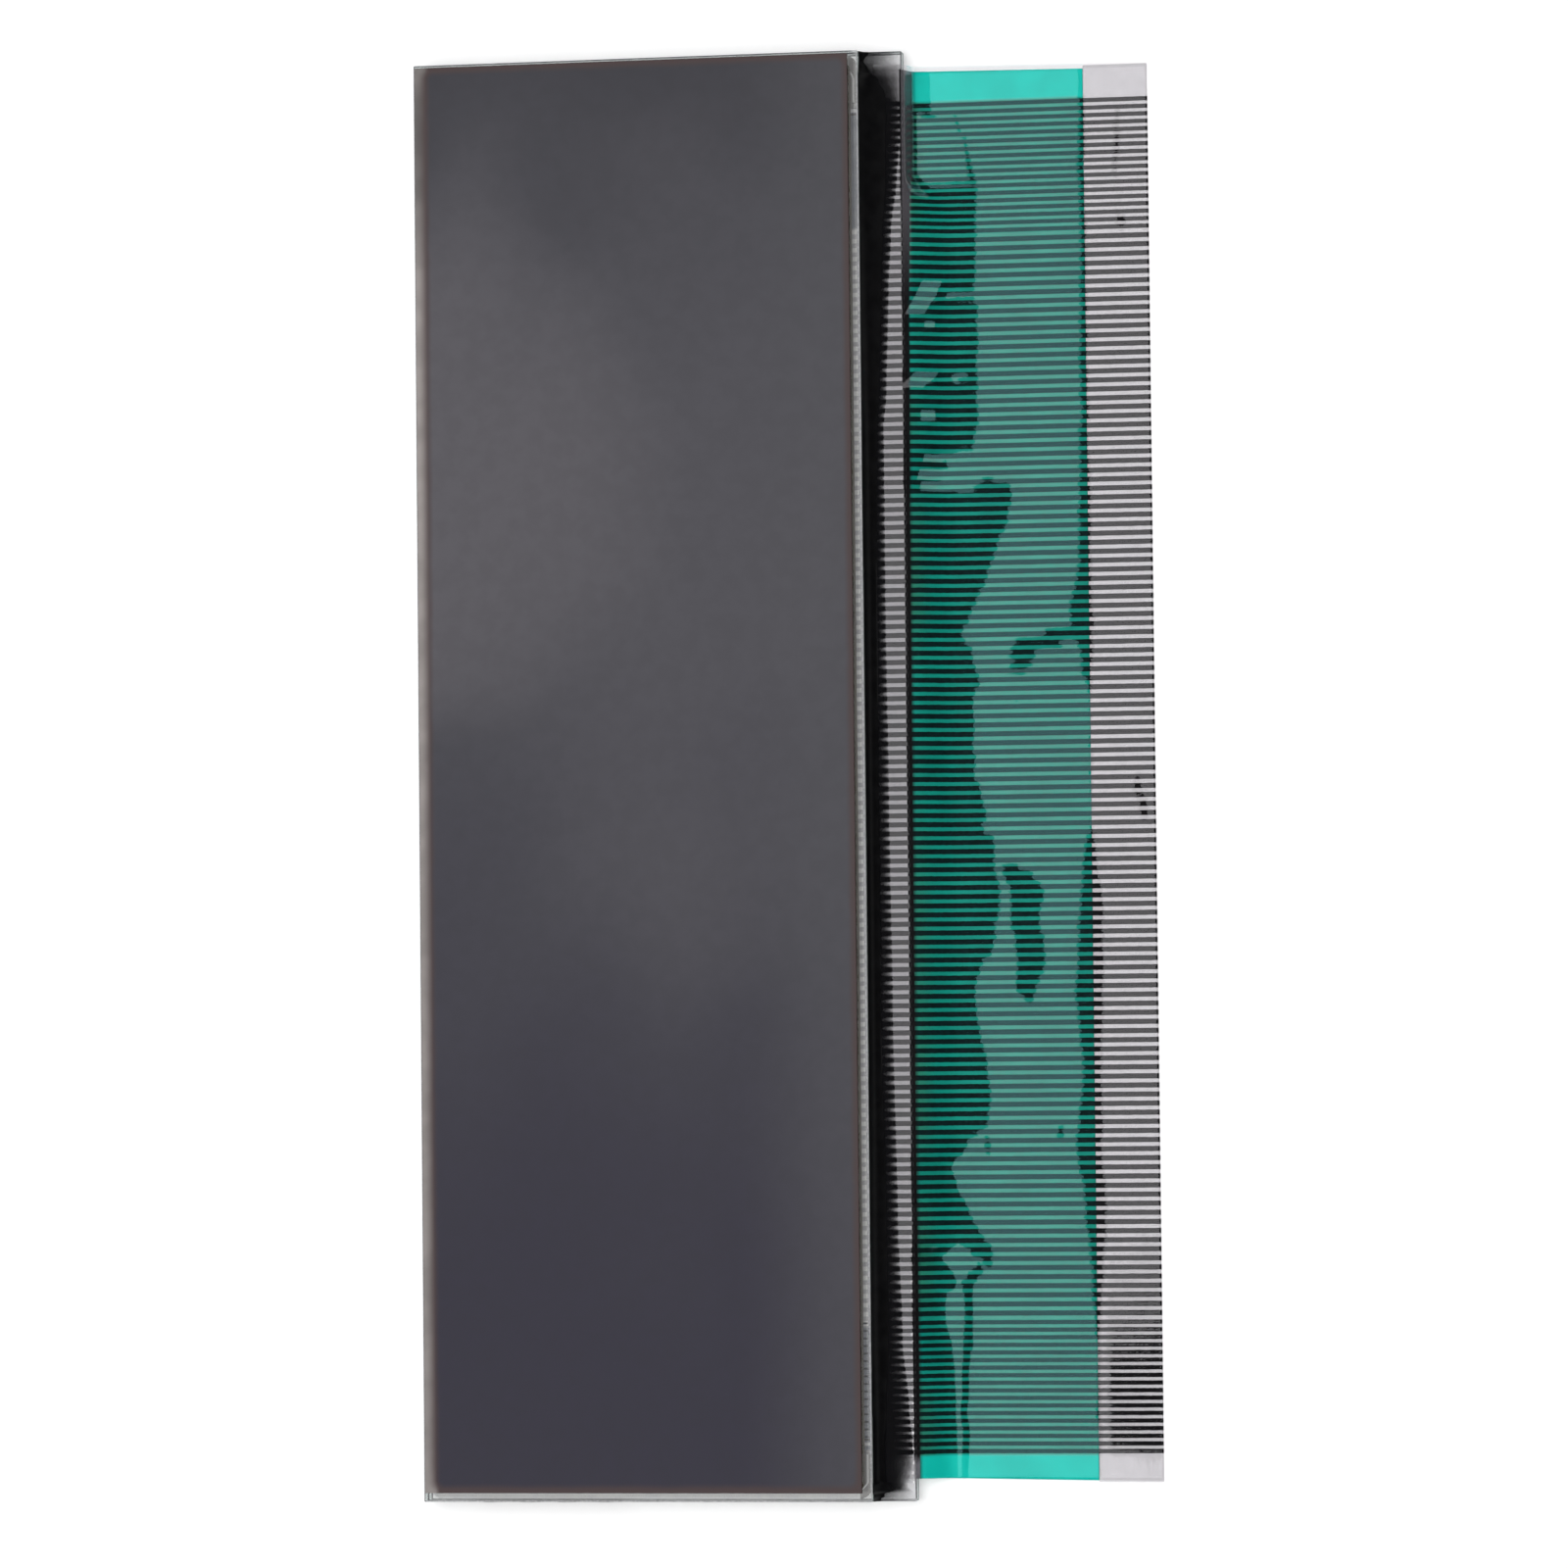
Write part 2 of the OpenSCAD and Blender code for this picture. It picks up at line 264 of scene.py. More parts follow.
def stack_sheet(name, rings, finishes, ring_finish=None, smooth=False):
    # A sheet built up from rings of points, each with its own height, closed at both faces
    points, faces, marks = [], [], []
    count = len(rings[0][0])
    for ring, z in rings:
        points += [(x, y, z) for x, y in ring]
    faces.append(tuple(reversed(range(count))))
    marks.append(0)
    for level in range(len(rings) - 1):
        a, b = level * count, (level + 1) * count
        for k in range(count):
            n = (k + 1) % count
            faces.append((a + k, a + n, b + n, b + k))
            marks.append(ring_finish[level] if ring_finish else 0)
    last = (len(rings) - 1) * count
    faces.append(tuple(range(last, last + count)))
    marks.append(0)
    return finish_piece(name, points, faces, finishes, marks, smooth)


def cut_sheet(name, box, z0, z1, finish, round_edge=0.03, radius=0.05):
    x0, x1, y0, y1 = box
    rings = [(outline(x0, x1, y0, y1, radius, round_edge * 0.4), z0),
             (outline(x0, x1, y0, y1, radius, 0.0), z0 + round_edge * 0.6),
             (outline(x0, x1, y0, y1, radius, 0.0), z1 - round_edge),
             (outline(x0, x1, y0, y1, radius, round_edge * 0.3), z1 - round_edge * 0.3),
             (outline(x0, x1, y0, y1, radius, round_edge), z1)]
    return stack_sheet(name, rings, [finish])


def polarizer_finish(name, tones_and_painted_glare, fringe, seal_tone, gloss):
    # tones_and_painted_glare: middle, head, foot, pale cloud of painted glare, ledge side
    material, tree = new_finish(name)
    (x, y, z), spot = place_of(tree)
    inside = rounded_inside(tree, x, y, (0.265, 0.03), (14.485, 47.75), 0.8)
    soft = cloud(tree, spot, 0.05, 1.5)
    fine = cloud(tree, spot, 0.9, 3.0)
    middle, head, foot, painted_highlight_tone, side = tones_and_painted_glare
    drift = calc(tree, "MULTIPLY", calc(tree, "SUBTRACT", soft, 0.5), 30.0)
    y_soft = calc(tree, "ADD", y, drift)
    # Darker towards the foot and the head end: a painted glare gradient across the sheet
    tone = blend(tree, ramp(tree, y_soft, 12.0, -40.0), middle, foot)
    tone = blend(tree, ramp(tree, y_soft, 26.0, 50.0), tone, head)
    tone = blend(tree, calc(tree, "MULTIPLY", ramp(tree, x, 6.0, 15.0), 0.55), tone, side)
    # A paler cloud on the plain side's upper half: a painted highlight of the softbox's glare
    lean = calc(tree, "MULTIPLY", calc(tree, "SUBTRACT", x, -12.0), 0.062)
    rise = calc(tree, "MULTIPLY", calc(tree, "SUBTRACT", y_soft, 20.0), 0.052)
    away = calc(tree, "ADD", calc(tree, "MULTIPLY", lean, lean), calc(tree, "MULTIPLY", rise, rise))
    tone = blend(tree, ramp(tree, away, 0.0, 1.1, 1.0, 0.0), tone, painted_highlight_tone)
    # and a fainter painted highlight across the middle
    lean = calc(tree, "MULTIPLY", calc(tree, "SUBTRACT", x, 2.5), 0.065)
    rise = calc(tree, "MULTIPLY", calc(tree, "SUBTRACT", y_soft, 14.0), 0.034)
    away = calc(tree, "ADD", calc(tree, "MULTIPLY", lean, lean), calc(tree, "MULTIPLY", rise, rise))
    tone = blend(tree, ramp(tree, away, 0.0, 1.1, 0.40, 0.0), tone, painted_highlight_tone)
    speck = ramp(tree, fine, 0.3, 0.7, 0.95, 1.05)
    tone = put(tree, "ShaderNodeVectorMath", {0: tone, 1: speck}, operation="MULTIPLY").outputs[0]
    wander = calc(tree, "MULTIPLY", calc(tree, "SUBTRACT", cloud(tree, spot, 0.5), 0.5), 0.16)
    edge = calc(tree, "ADD", inside, wander)
    tone = blend(tree, calc(tree, "MULTIPLY", ramp(tree, edge, 0.60, 0.08), 0.85), tone, fringe)
    # The seal shows along the plain side: softly edged, darker towards the head end
    band = calc(tree, "MULTIPLY", ramp(tree, inside, 0.33, -0.45), ramp(tree, x, -13.7, -14.1))
    bright = calc(tree, "MULTIPLY", ramp(tree, y, 43.0, 31.0, 0.40, 1.18),
                  ramp(tree, y, 30.0, -40.0, 1.0, 0.78))
    bright = calc(tree, "ADD", bright, ramp(tree, y, 45.5, 47.2, 0.0, 0.25))
    bright = calc(tree, "ADD", bright, ramp(tree, y, -46.0, -47.3, 0.0, 0.12))
    streak = ramp(tree, cloud(tree, spot, 0.4, 2.0), 0.3, 0.7, 0.85, 1.12)
    bright = calc(tree, "MULTIPLY", bright, streak)
    seal_seen = put(tree, "ShaderNodeVectorMath", {0: seal_tone[:3], 1: bright},
                    operation="MULTIPLY").outputs[0]
    tone = blend(tree, band, tone, seal_seen)
    wave = cloud(tree, spot, 0.25, 1.0)
    bump = put(tree, "ShaderNodeBump", {"Strength": 0.04, "Distance": 0.0001, "Height": wave})
    skin = put(tree, "ShaderNodeBsdfPrincipled",
               {"Base Color": tone, "Roughness": 0.14, "IOR": 1.49, "Specular IOR Level": gloss,
                "Normal": bump.outputs[0]})
    put(tree, "ShaderNodeOutputMaterial", {"Surface": skin.outputs[0]})
    return material


rear_film = polarizer_finish("rear_polarizer_film",
                             (paint(52, 51, 55), paint(46, 45, 50), paint(40, 39, 46),
                              paint(60, 58, 60), paint(54, 53, 58)),
                             paint(54, 42, 40), paint(110, 106, 102), 0.4)
SHEET = (-POLARIZER_W / 2, POLARIZER_W / 2, -POLARIZER_L / 2, POLARIZER_L / 2)
fit(cut_sheet("rear_polarizer_sheet", SHEET, 0.0, 0.18 - GAP, rear_film), "polarizer",
    "rear_polarizer")

tack, tree = new_finish("clear_tack")
(x, y, z), spot = place_of(tree)
haze = ramp(tree, cloud(tree, spot, 1.2), 0.3, 0.7, 0.10, 0.18)
clear = put(tree, "ShaderNodeBsdfTransparent", {"Color": (0.98, 0.98, 0.97, 1)})
milk = put(tree, "ShaderNodeBsdfDiffuse", {"Color": paint(232, 232, 226)})
tack_mix = put(tree, "ShaderNodeMixShader", {0: haze, 1: clear.outputs[0], 2: milk.outputs[0]})
put(tree, "ShaderNodeOutputMaterial", {"Surface": tack_mix.outputs[0]})
fit(cut_sheet("rear_tack_layer", SHEET, 0.18 + GAP, 0.20 - GAP, tack, 0.004), "clear_adhesive",
    "rear_polarizer_adhesive")

# Rear plate. Clear float glass 1.1 mm thick, scored and broken to size, with its sharp edges
# lightly seamed. It is wider than the front plate, which leaves the contact ledge bare.
GLASS_Z = (0.20, 1.30)


def gloss_share(tree, ior):
    # Mirror share of a face seen from outside; the inner sides of a face give none
    fresnel = put(tree, "ShaderNodeFresnel", {"IOR": ior}).outputs[0]
    behind = put(tree, "ShaderNodeNewGeometry").outputs["Backfacing"]
    return calc(tree, "MULTIPLY", fresnel, calc(tree, "SUBTRACT", 1.0, behind))


glass_face, tree = new_finish("clear_glass")
(x, y, z), spot = place_of(tree)
tone = blend(tree, ramp(tree, x, 15.42, 15.5), (0.982, 0.984, 0.983, 1), (0.948, 0.946, 0.955, 1))
clear = put(tree, "ShaderNodeBsdfTransparent", {"Color": tone})
shine = put(tree, "ShaderNodeBsdfGlossy", {"Color": (1, 1, 1, 1), "Roughness": 0.03})
mix = put(tree, "ShaderNodeMixShader", {0: gloss_share(tree, 1.52), 1: clear.outputs[0],
                                        2: shine.outputs[0]})
put(tree, "ShaderNodeOutputMaterial", {"Surface": mix.outputs[0]})

glass_wall, tree = new_finish("cut_glass_edge")
(x, y, z), spot = place_of(tree)
hackle = cloud(tree, spot, 1.0, 3.0, (0.16, 0.16, 2.6))
body = blend(tree, ramp(tree, hackle, 0.3, 0.7), paint(186, 200, 196), paint(212, 222, 219))
bump = put(tree, "ShaderNodeBump", {"Strength": 0.15, "Distance": 0.00004, "Height": hackle})
skin = put(tree, "ShaderNodeBsdfPrincipled", {"Base Color": body, "Roughness": 0.22, "IOR": 1.52,
                                              "Normal": bump.outputs[0]})
clear = put(tree, "ShaderNodeBsdfTransparent", {"Color": (0.80, 0.86, 0.84, 1)})
mix = put(tree, "ShaderNodeMixShader", {0: 0.50, 1: clear.outputs[0], 2: skin.outputs[0]})
put(tree, "ShaderNodeOutputMaterial", {"Surface": mix.outputs[0]})

glass_seam, tree = new_finish("seamed_glass_edge")
(x, y, z), spot = place_of(tree)
grit = cloud(tree, spot, 6.0, 3.0)
dark = blend(tree, ramp(tree, grit, 0.35, 0.65), paint(70, 70, 76), paint(104, 105, 110))
painted_highlight_tone = blend(tree, ramp(tree, grit, 0.35, 0.65), paint(176, 177, 179), paint(208, 208, 210))
# The seam on the front plate's ledge side and along both plates' lower edge is painted pale: a
# painted glint where it faces the camera
seam_painted_glint = calc(tree, "MULTIPLY", ramp(tree, x, 14.9, 15.2), ramp(tree, z, 1.32, 1.38))
seam_painted_glint = calc(tree, "MAXIMUM", seam_painted_glint, calc(
    tree, "MULTIPLY", ramp(tree, y, -48.1, -48.3), ramp(tree, x, -14.8, -14.7)))
body = blend(tree, seam_painted_glint, dark, painted_highlight_tone)
skin = put(tree, "ShaderNodeBsdfPrincipled", {"Base Color": body, "Roughness": 0.5, "IOR": 1.52})
clear = put(tree, "ShaderNodeBsdfTransparent", {"Color": (0.92, 0.94, 0.93, 1)})
mix = put(tree, "ShaderNodeMixShader", {0: 0.85, 1: clear.outputs[0], 2: skin.outputs[0]})
put(tree, "ShaderNodeOutputMaterial", {"Surface": mix.outputs[0]})

SEAM = 0.08


def glass_plate(name, box, z0, z1, seed):
    x0, x1, y0, y1 = box
    wide = [outline(x0, x1, y0, y1, 0.06, SEAM, 1.0, 0.03, seed + k) for k in (0, 5)]
    full = outline(x0, x1, y0, y1, 0.06, 0.0)
    rings = [(wide[0], z0), (full, z0 + SEAM), (full, z1 - SEAM), (wide[1], z1)]
    return stack_sheet(name, rings, [glass_face, glass_wall, glass_seam], [2, 1, 2])


fit(glass_plate("rear_glass_plate", (PLAIN_X, LEDGE_X, BOTTOM_Y, TOP_Y), GLASS_Z[0] + GAP,
                GLASS_Z[1] - GAP, 3.0), "glass", "rear_glass")

# Electrode coats. Indium tin oxide sputtered on the inner face of each plate, nearly clear, and
# etched into the contact leads that run out under the seal to the ledge.
MID_X, MID_Y = (PLAIN_X + FRONT_X) / 2, (BOTTOM_Y + TOP_Y) / 2
POOL = (-14.225, 14.775, -47.75, 47.35)
electrode, tree = new_finish("clear_electrode")
(x, y, z), spot = place_of(tree)
clear = put(tree, "ShaderNodeBsdfTransparent", {"Color": (0.986, 0.985, 0.982, 1)})
shine = put(tree, "ShaderNodeBsdfGlossy", {"Color": (0.92, 0.92, 0.88, 1), "Roughness": 0.08})
film_share = ramp(tree, cloud(tree, spot, 0.3), 0.3, 0.7, 0.015, 0.04)
mix = put(tree, "ShaderNodeMixShader", {0: film_share, 1: clear.outputs[0], 2: shine.outputs[0]})
put(tree, "ShaderNodeOutputMaterial", {"Surface": mix.outputs[0]})
fit(cut_sheet("segment_coat", POOL, 1.30, 1.32 - GAP, electrode, 0.004, 0.6), "electrode",
    "segment_electrodes")
COMMON = (PLAIN_X + 0.3, FRONT_X - 0.3, BOTTOM_Y + 0.3, TOP_Y - 0.3)
fit(cut_sheet("common_coat", COMMON, 1.37 + GAP, 1.39 - GAP, electrode, 0.004, 0.3), "electrode",
    "common_electrode")
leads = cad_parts["contact_leads"]
for finish_place in leads.material_slots:
    finish_place.link = "OBJECT"
    finish_place.material = electrode

# Alignment coats and liquid crystal. Rubbed polyimide films, faint yellow, with the thin crystal
# layer between them, which looks dark grey between the crossed polarizers.
rubbed, tree = new_finish("rubbed_alignment_coat")
(x, y, z), spot = place_of(tree)
rub = ramp(tree, cloud(tree, spot, 1.0, 2.0, (4, 0.2, 1)), 0.3, 0.7, 0.12, 0.2)
clear = put(tree, "ShaderNodeBsdfTransparent", {"Color": (0.97, 0.95, 0.86, 1)})
milk = put(tree, "ShaderNodeBsdfDiffuse", {"Color": paint(226, 214, 170)})
mix = put(tree, "ShaderNodeMixShader", {0: rub, 1: clear.outputs[0], 2: milk.outputs[0]})
put(tree, "ShaderNodeOutputMaterial", {"Surface": mix.outputs[0]})
fit(cut_sheet("rear_rubbed_coat", POOL, 1.32 + GAP / 2, 1.33 - GAP / 2, rubbed, 0.002, 0.6),
    "alignment_coat", "rear_alignment_layer")
fit(cut_sheet("front_rubbed_coat", POOL, 1.36 + GAP / 2, 1.37 - GAP / 2, rubbed, 0.002, 0.6),
    "alignment_coat", "front_alignment_layer")

crystal, tree = new_finish("dark_liquid_crystal")
(x, y, z), spot = place_of(tree)
swirl = ramp(tree, cloud(tree, spot, 0.15, 3.0), 0.3, 0.7)
tone = blend(tree, swirl, paint(58, 54, 56), paint(70, 66, 70))
skin = put(tree, "ShaderNodeBsdfPrincipled", {"Base Color": tone, "Roughness": 0.35})
put(tree, "ShaderNodeOutputMaterial", {"Surface": skin.outputs[0]})
fit(cut_sheet("crystal_layer", POOL, 1.33 + GAP, 1.36 - GAP, crystal, 0.004, 0.6), "crystal",
    "liquid_crystal")

# Perimeter seal. A printed line of grey epoxy round the cell, half a millimetre wide with rounded
# corners, which glues the plates together. It is pressed thin, and paler over each contact lead.
FIRST_Y, LAST_Y, FINE, COARSE, FINE_N, COARSE_N = 44.45, -45.15, 0.5, 0.6, 17, 121
seal_paste, tree = new_finish("grey_cell_seal")
(x, y, z), spot = place_of(tree)
mottle = cloud(tree, spot, 1.4, 3.0)
tone = blend(tree, ramp(tree, mottle, 0.3, 0.7), paint(248, 248, 250), paint(255, 255, 255))
side = ramp(tree, x, 14.40, 14.50)
dull = blend(tree, ramp(tree, mottle, 0.3, 0.7), paint(128, 134, 146), paint(146, 151, 162))
light = blend(tree, ramp(tree, mottle, 0.3, 0.7), paint(198, 197, 202), paint(212, 211, 216))
coarse_part = calc(tree, "MULTIPLY", ramp(tree, y, 36.3, 36.1), ramp(tree, y, -37.0, -36.8))
corner_part = calc(tree, "MAXIMUM", ramp(tree, y, 44.1, 44.3), ramp(tree, y, -45.2, -45.4))
strip = blend(tree, coarse_part, dull, light)
strip = blend(tree, corner_part, strip, paint(148, 147, 146))
tone = blend(tree, side, tone, strip)


def lead_marks(first, pitch, count, half_wide):
    # Share that is 1 over each contact lead of one spacing and 0 between them
    places = calc(tree, "DIVIDE", calc(tree, "SUBTRACT", first, y), pitch)
    phase = calc(tree, "ABSOLUTE", calc(tree, "SUBTRACT", calc(tree, "FRACT", calc(
        tree, "ADD", places, 0.5)), 0.5))
    mark = ramp(tree, phase, half_wide + 0.06, half_wide - 0.06)
    ends = calc(tree, "MULTIPLY", ramp(tree, places, -0.6, -0.4),
                ramp(tree, places, count + 0.6, count + 0.4))
    return calc(tree, "MULTIPLY", mark, ends)


dots = calc(tree, "MULTIPLY", lead_marks(FIRST_Y - FINE * FINE_N, COARSE, COARSE_N, 0.25),
            calc(tree, "MULTIPLY", ramp(tree, x, 14.74, 14.80), ramp(tree, x, 15.12, 15.06)))
tone = blend(tree, dots, tone, paint(255, 255, 255))
ticks = calc(tree, "MULTIPLY", lead_marks(LAST_Y + FINE * FINE_N, FINE, FINE_N, 0.14),
             calc(tree, "MULTIPLY", ramp(tree, x, 14.74, 14.78), ramp(tree, x, 15.10, 15.04)))
tone = blend(tree, ticks, tone, paint(66, 70, 80))


def near(value, place, half):
    off = calc(tree, "ABSOLUTE", calc(tree, "SUBTRACT", value, place))
    return ramp(tree, off, half + 0.04, half - 0.01)


# At both corners its edge catches the light as a curved line, and short joints cross the strip
turn_up = calc(tree, "MULTIPLY", ramp(tree, y, 46.2, 47.2), 0.40)
turn_low = calc(tree, "MULTIPLY", ramp(tree, y, -47.1, -48.0), 0.65)
line_x = calc(tree, "SUBTRACT", 14.96, calc(tree, "ADD", turn_up, turn_low))
ends = calc(tree, "MAXIMUM", ramp(tree, y, 44.6, 44.7), ramp(tree, y, -45.0, -45.1))
line = calc(tree, "MULTIPLY", near(x, line_x, 0.05), ends)
tone = blend(tree, line, tone, paint(255, 255, 255))
for joint_y, half, shade in ((44.10, 0.10, 235), (43.84, 0.05, 84), (-44.33, 0.05, 62),
                             (-44.62, 0.10, 220)):
    joint = calc(tree, "MULTIPLY", near(y, joint_y, half), ramp(tree, x, 14.55, 14.65))
    tone = blend(tree, joint, tone, paint(shade, shade, shade + 4))
skin = put(tree, "ShaderNodeBsdfPrincipled", {"Base Color": tone, "Roughness": 0.45})
clear = put(tree, "ShaderNodeBsdfTransparent", {"Color": (0.97, 0.97, 0.97, 1)})
mix = put(tree, "ShaderNodeMixShader", {0: 0.94, 1: clear.outputs[0], 2: skin.outputs[0]})
put(tree, "ShaderNodeOutputMaterial", {"Surface": mix.outputs[0]})


seal_low, seal_high = 1.32 + GAP, 1.37 - GAP
outer_edge = outline(PLAIN_X, FRONT_X, BOTTOM_Y, TOP_Y, 1.05, 0.15, 500)
inner_edge = outline(PLAIN_X, FRONT_X, BOTTOM_Y, TOP_Y, 1.25, 0.65, 500)


def dense(edge, parts):
    points = []
    for k, here in enumerate(edge):
        there = edge[(k + 1) % len(edge)]
        n = parts if math.dist(here, there) > 5 else 1
        for j in range(n):
            points.append((here[0] + (there[0] - here[0]) * j / n,
                           here[1] + (there[1] - here[1]) * j / n))
    return points


outer_edge, inner_edge = dense(outer_edge, 120), dense(inner_edge, 120)
ring_n = len(outer_edge)
ring_points = ([(x, y, seal_low) for x, y in outer_edge] + [(x, y, seal_low) for x, y in inner_edge]
               + [(x, y, seal_high) for x, y in outer_edge]
               + [(x, y, seal_high) for x, y in inner_edge])
ring_faces = []
for k in range(ring_n):
    n = (k + 1) % ring_n
    ring_faces += [(k, ring_n + k, ring_n + n, n),
                   (2 * ring_n + k, 2 * ring_n + n, 3 * ring_n + n, 3 * ring_n + k),
                   (k, n, 2 * ring_n + n, 2 * ring_n + k),
                   (ring_n + k, 3 * ring_n + k, 3 * ring_n + n, ring_n + n)]
fit(finish_piece("cell_seal_line", ring_points, ring_faces, [seal_paste]), "cell_seal",
    "perimeter_seal")

# Transfer dots. Two spots of silver-filled paste in the seal, beside the first and last contact,
# which carry the front plate's electrode down to the ledge.
silver_paste, tree = new_finish("silver_paste")
(x, y, z), spot = place_of(tree)
flake = ramp(tree, cloud(tree, spot, 18.0, 2.0), 0.35, 0.65)
tone = blend(tree, flake, paint(150, 150, 152), paint(206, 206, 208))
skin = put(tree, "ShaderNodeBsdfPrincipled", {"Base Color": tone, "Roughness": 0.4,
                                              "Metallic": 0.3})
put(tree, "ShaderNodeOutputMaterial", {"Surface": skin.outputs[0]})
points, faces = [], []
for dot_y in (FIRST_Y, LAST_Y):
    base = len(points)
    turns = 28
    for height, size in ((1.33, 0.8), (1.345, 0.97), (1.36, 0.97), (1.3705, 0.85)):
        for k in range(turns):
            a = 2 * math.pi * k / turns
            r = 0.2 * size * (1 + 0.06 * math.sin(3 * a + dot_y))
            points.append((15.025 + r * math.cos(a), dot_y + r * math.sin(a), height))
    faces.append(tuple(reversed(range(base, base + turns))))
    for level in range(3):
        a, b = base + level * turns, base + (level + 1) * turns
        faces += [(a + k, a + (k + 1) % turns, b + (k + 1) % turns, b + k) for k in range(turns)]
    faces.append(tuple(range(base + 3 * turns, base + 4 * turns)))
fit(finish_piece("transfer_paste_dots", points, faces, [silver_paste], None, True),
    "transfer_paste", "transfer_dots")

# Fill port resin. The crystal goes in through a gap in the seal, which a drop of clear resin then
# closes. It set on the cut edge in four low bulges, joined by a thin smear.
PORT_X, PLUG_L, BULGES, BULGE_OUT, SMEAR_OUT = -6.575, 10.4, 4, 0.09, 0.03
resin, tree = new_finish("port_resin")
(x, y, z), spot = place_of(tree)
streak = ramp(tree, cloud(tree, spot, 1.5, 3.0), 0.3, 0.7)
tone = blend(tree, streak, paint(88, 92, 90), paint(138, 140, 132))
skin = put(tree, "ShaderNodeBsdfPrincipled", {"Base Color": tone, "Roughness": 0.18, "IOR": 1.5})
clear = put(tree, "ShaderNodeBsdfTransparent", {"Color": (0.85, 0.86, 0.82, 1)})
mix = put(tree, "ShaderNodeMixShader", {0: 0.85, 1: clear.outputs[0], 2: skin.outputs[0]})
put(tree, "ShaderNodeOutputMaterial", {"Surface": mix.outputs[0]})
nx, nz = 120, 12
points, faces = [], []
for side_y in (0, 1):
    for j in range(nz + 1):
        v = j / nz
        for i in range(nx + 1):
            u = i / nx
            x = PORT_X + (u - 0.5) * PLUG_L
            z = 0.75 + v * 1.19
            phase = (u * BULGES) % 1.0
            crown = max(0.0, 1 - ((phase - 0.5) / 0.4) ** 2)
            edge_fall = (1 - abs(2 * v - 1) ** 3) * min(1.0, 12 * min(u, 1 - u))
            out = (SMEAR_OUT + (BULGE_OUT - SMEAR_OUT) * crown) * (0.25 + 0.75 * edge_fall)
            out *= 1 + 0.12 * noise.noise((x * 1.3, z * 2.0, 4.0))
            y = BOTTOM_Y - out if side_y == 0 else BOTTOM_Y - GAP
            points.append((x, y, z))
row_n, side_n = nx + 1, (nx + 1) * (nz + 1)
for j in range(nz):
    for i in range(nx):
        a = j * row_n + i
        faces.append((a, a + 1, a + row_n + 1, a + row_n))
        faces.append((side_n + a, side_n + a + row_n, side_n + a + row_n + 1, side_n + a + 1))
for i in range(nx):
    for j, flip in ((0, True), (nz, False)):
        a = j * row_n + i
        quad = (a, a + 1, side_n + a + 1, side_n + a)
        faces.append(tuple(reversed(quad)) if flip else quad)
for j in range(nz):
    for i, flip in ((0, False), (nx, True)):
        a = j * row_n + i
        quad = (a, a + row_n, side_n + a + row_n, side_n + a)
        faces.append(tuple(reversed(quad)) if flip else quad)
fit(finish_piece("port_resin_bead", points, faces, [resin], None, True), "port_resin",
    "fill_port_plug")

# Front plate. The same glass as the rear plate, cut narrower, glued over it by the seal.
fit(glass_plate("front_glass_plate", (PLAIN_X, FRONT_X, BOTTOM_Y, TOP_Y), 1.39 + GAP, 2.49 - GAP,
                23.0), "glass", "front_glass")

# Front polarizer. The same film as the rear one with a smooth face. The seal shows through it as
# a paler band on the plain side, and the rubbed coats' edge as a brown fringe.
fit(cut_sheet("front_tack_layer", SHEET, 2.49 + GAP, 2.51 - GAP, tack, 0.004), "clear_adhesive",
    "front_polarizer_adhesive")
front_film = polarizer_finish("front_polarizer_film",
                              (paint(53, 53, 61), paint(36, 36, 45), paint(20, 16, 40),
                               paint(77, 75, 81), paint(68, 68, 73)),
                              paint(62, 42, 40), paint(140, 134, 131), 0.35)
fit(cut_sheet("front_polarizer_sheet", SHEET, 2.51 + GAP, 2.69, front_film), "polarizer",
    "front_polarizer")

# Ribbon. Polyester film with carbon traces printed on its underside and a green cover coat over
# them. Heat-seal adhesive bonds its inner end to the ledge. It curls down over the ledge's edge
# and settles onto the table in slightly uneven waves, then lies flat to its free end.
FILM_X, END_X = 16.225, 34.525
FILM_TOP_Y, FILM_BOTTOM_Y = 46.80, -47.20
COVER_X, COVER_END_X, COVER_TOP_Y = 18.675, 30.225, 46.56
LEDGE_FACE_Z, BOARD_FACE_Z = 1.34, 0.02
TRACE_T, FILM_T, COVER_T = 0.02, 0.05, 0.02
BEND_X = 18.0
TAIL_SLOPE = 0.06

columns = ([FILM_X + 0.175 * k for k in range(10)]
           + [17.95 + 0.1 * k for k in range(46)]
           + [22.60 + 0.16 * k for k in range(46)]
           + [30.00 + 0.12 * k for k in range(12)]
           + [31.45 + 0.15 * k for k in range(20)] + [34.4, END_X])
columns = sorted(set(round(c, 4) for c in columns) | {COVER_X, COVER_END_X})
columns = np.array(columns)
bond_columns = columns <= BEND_X

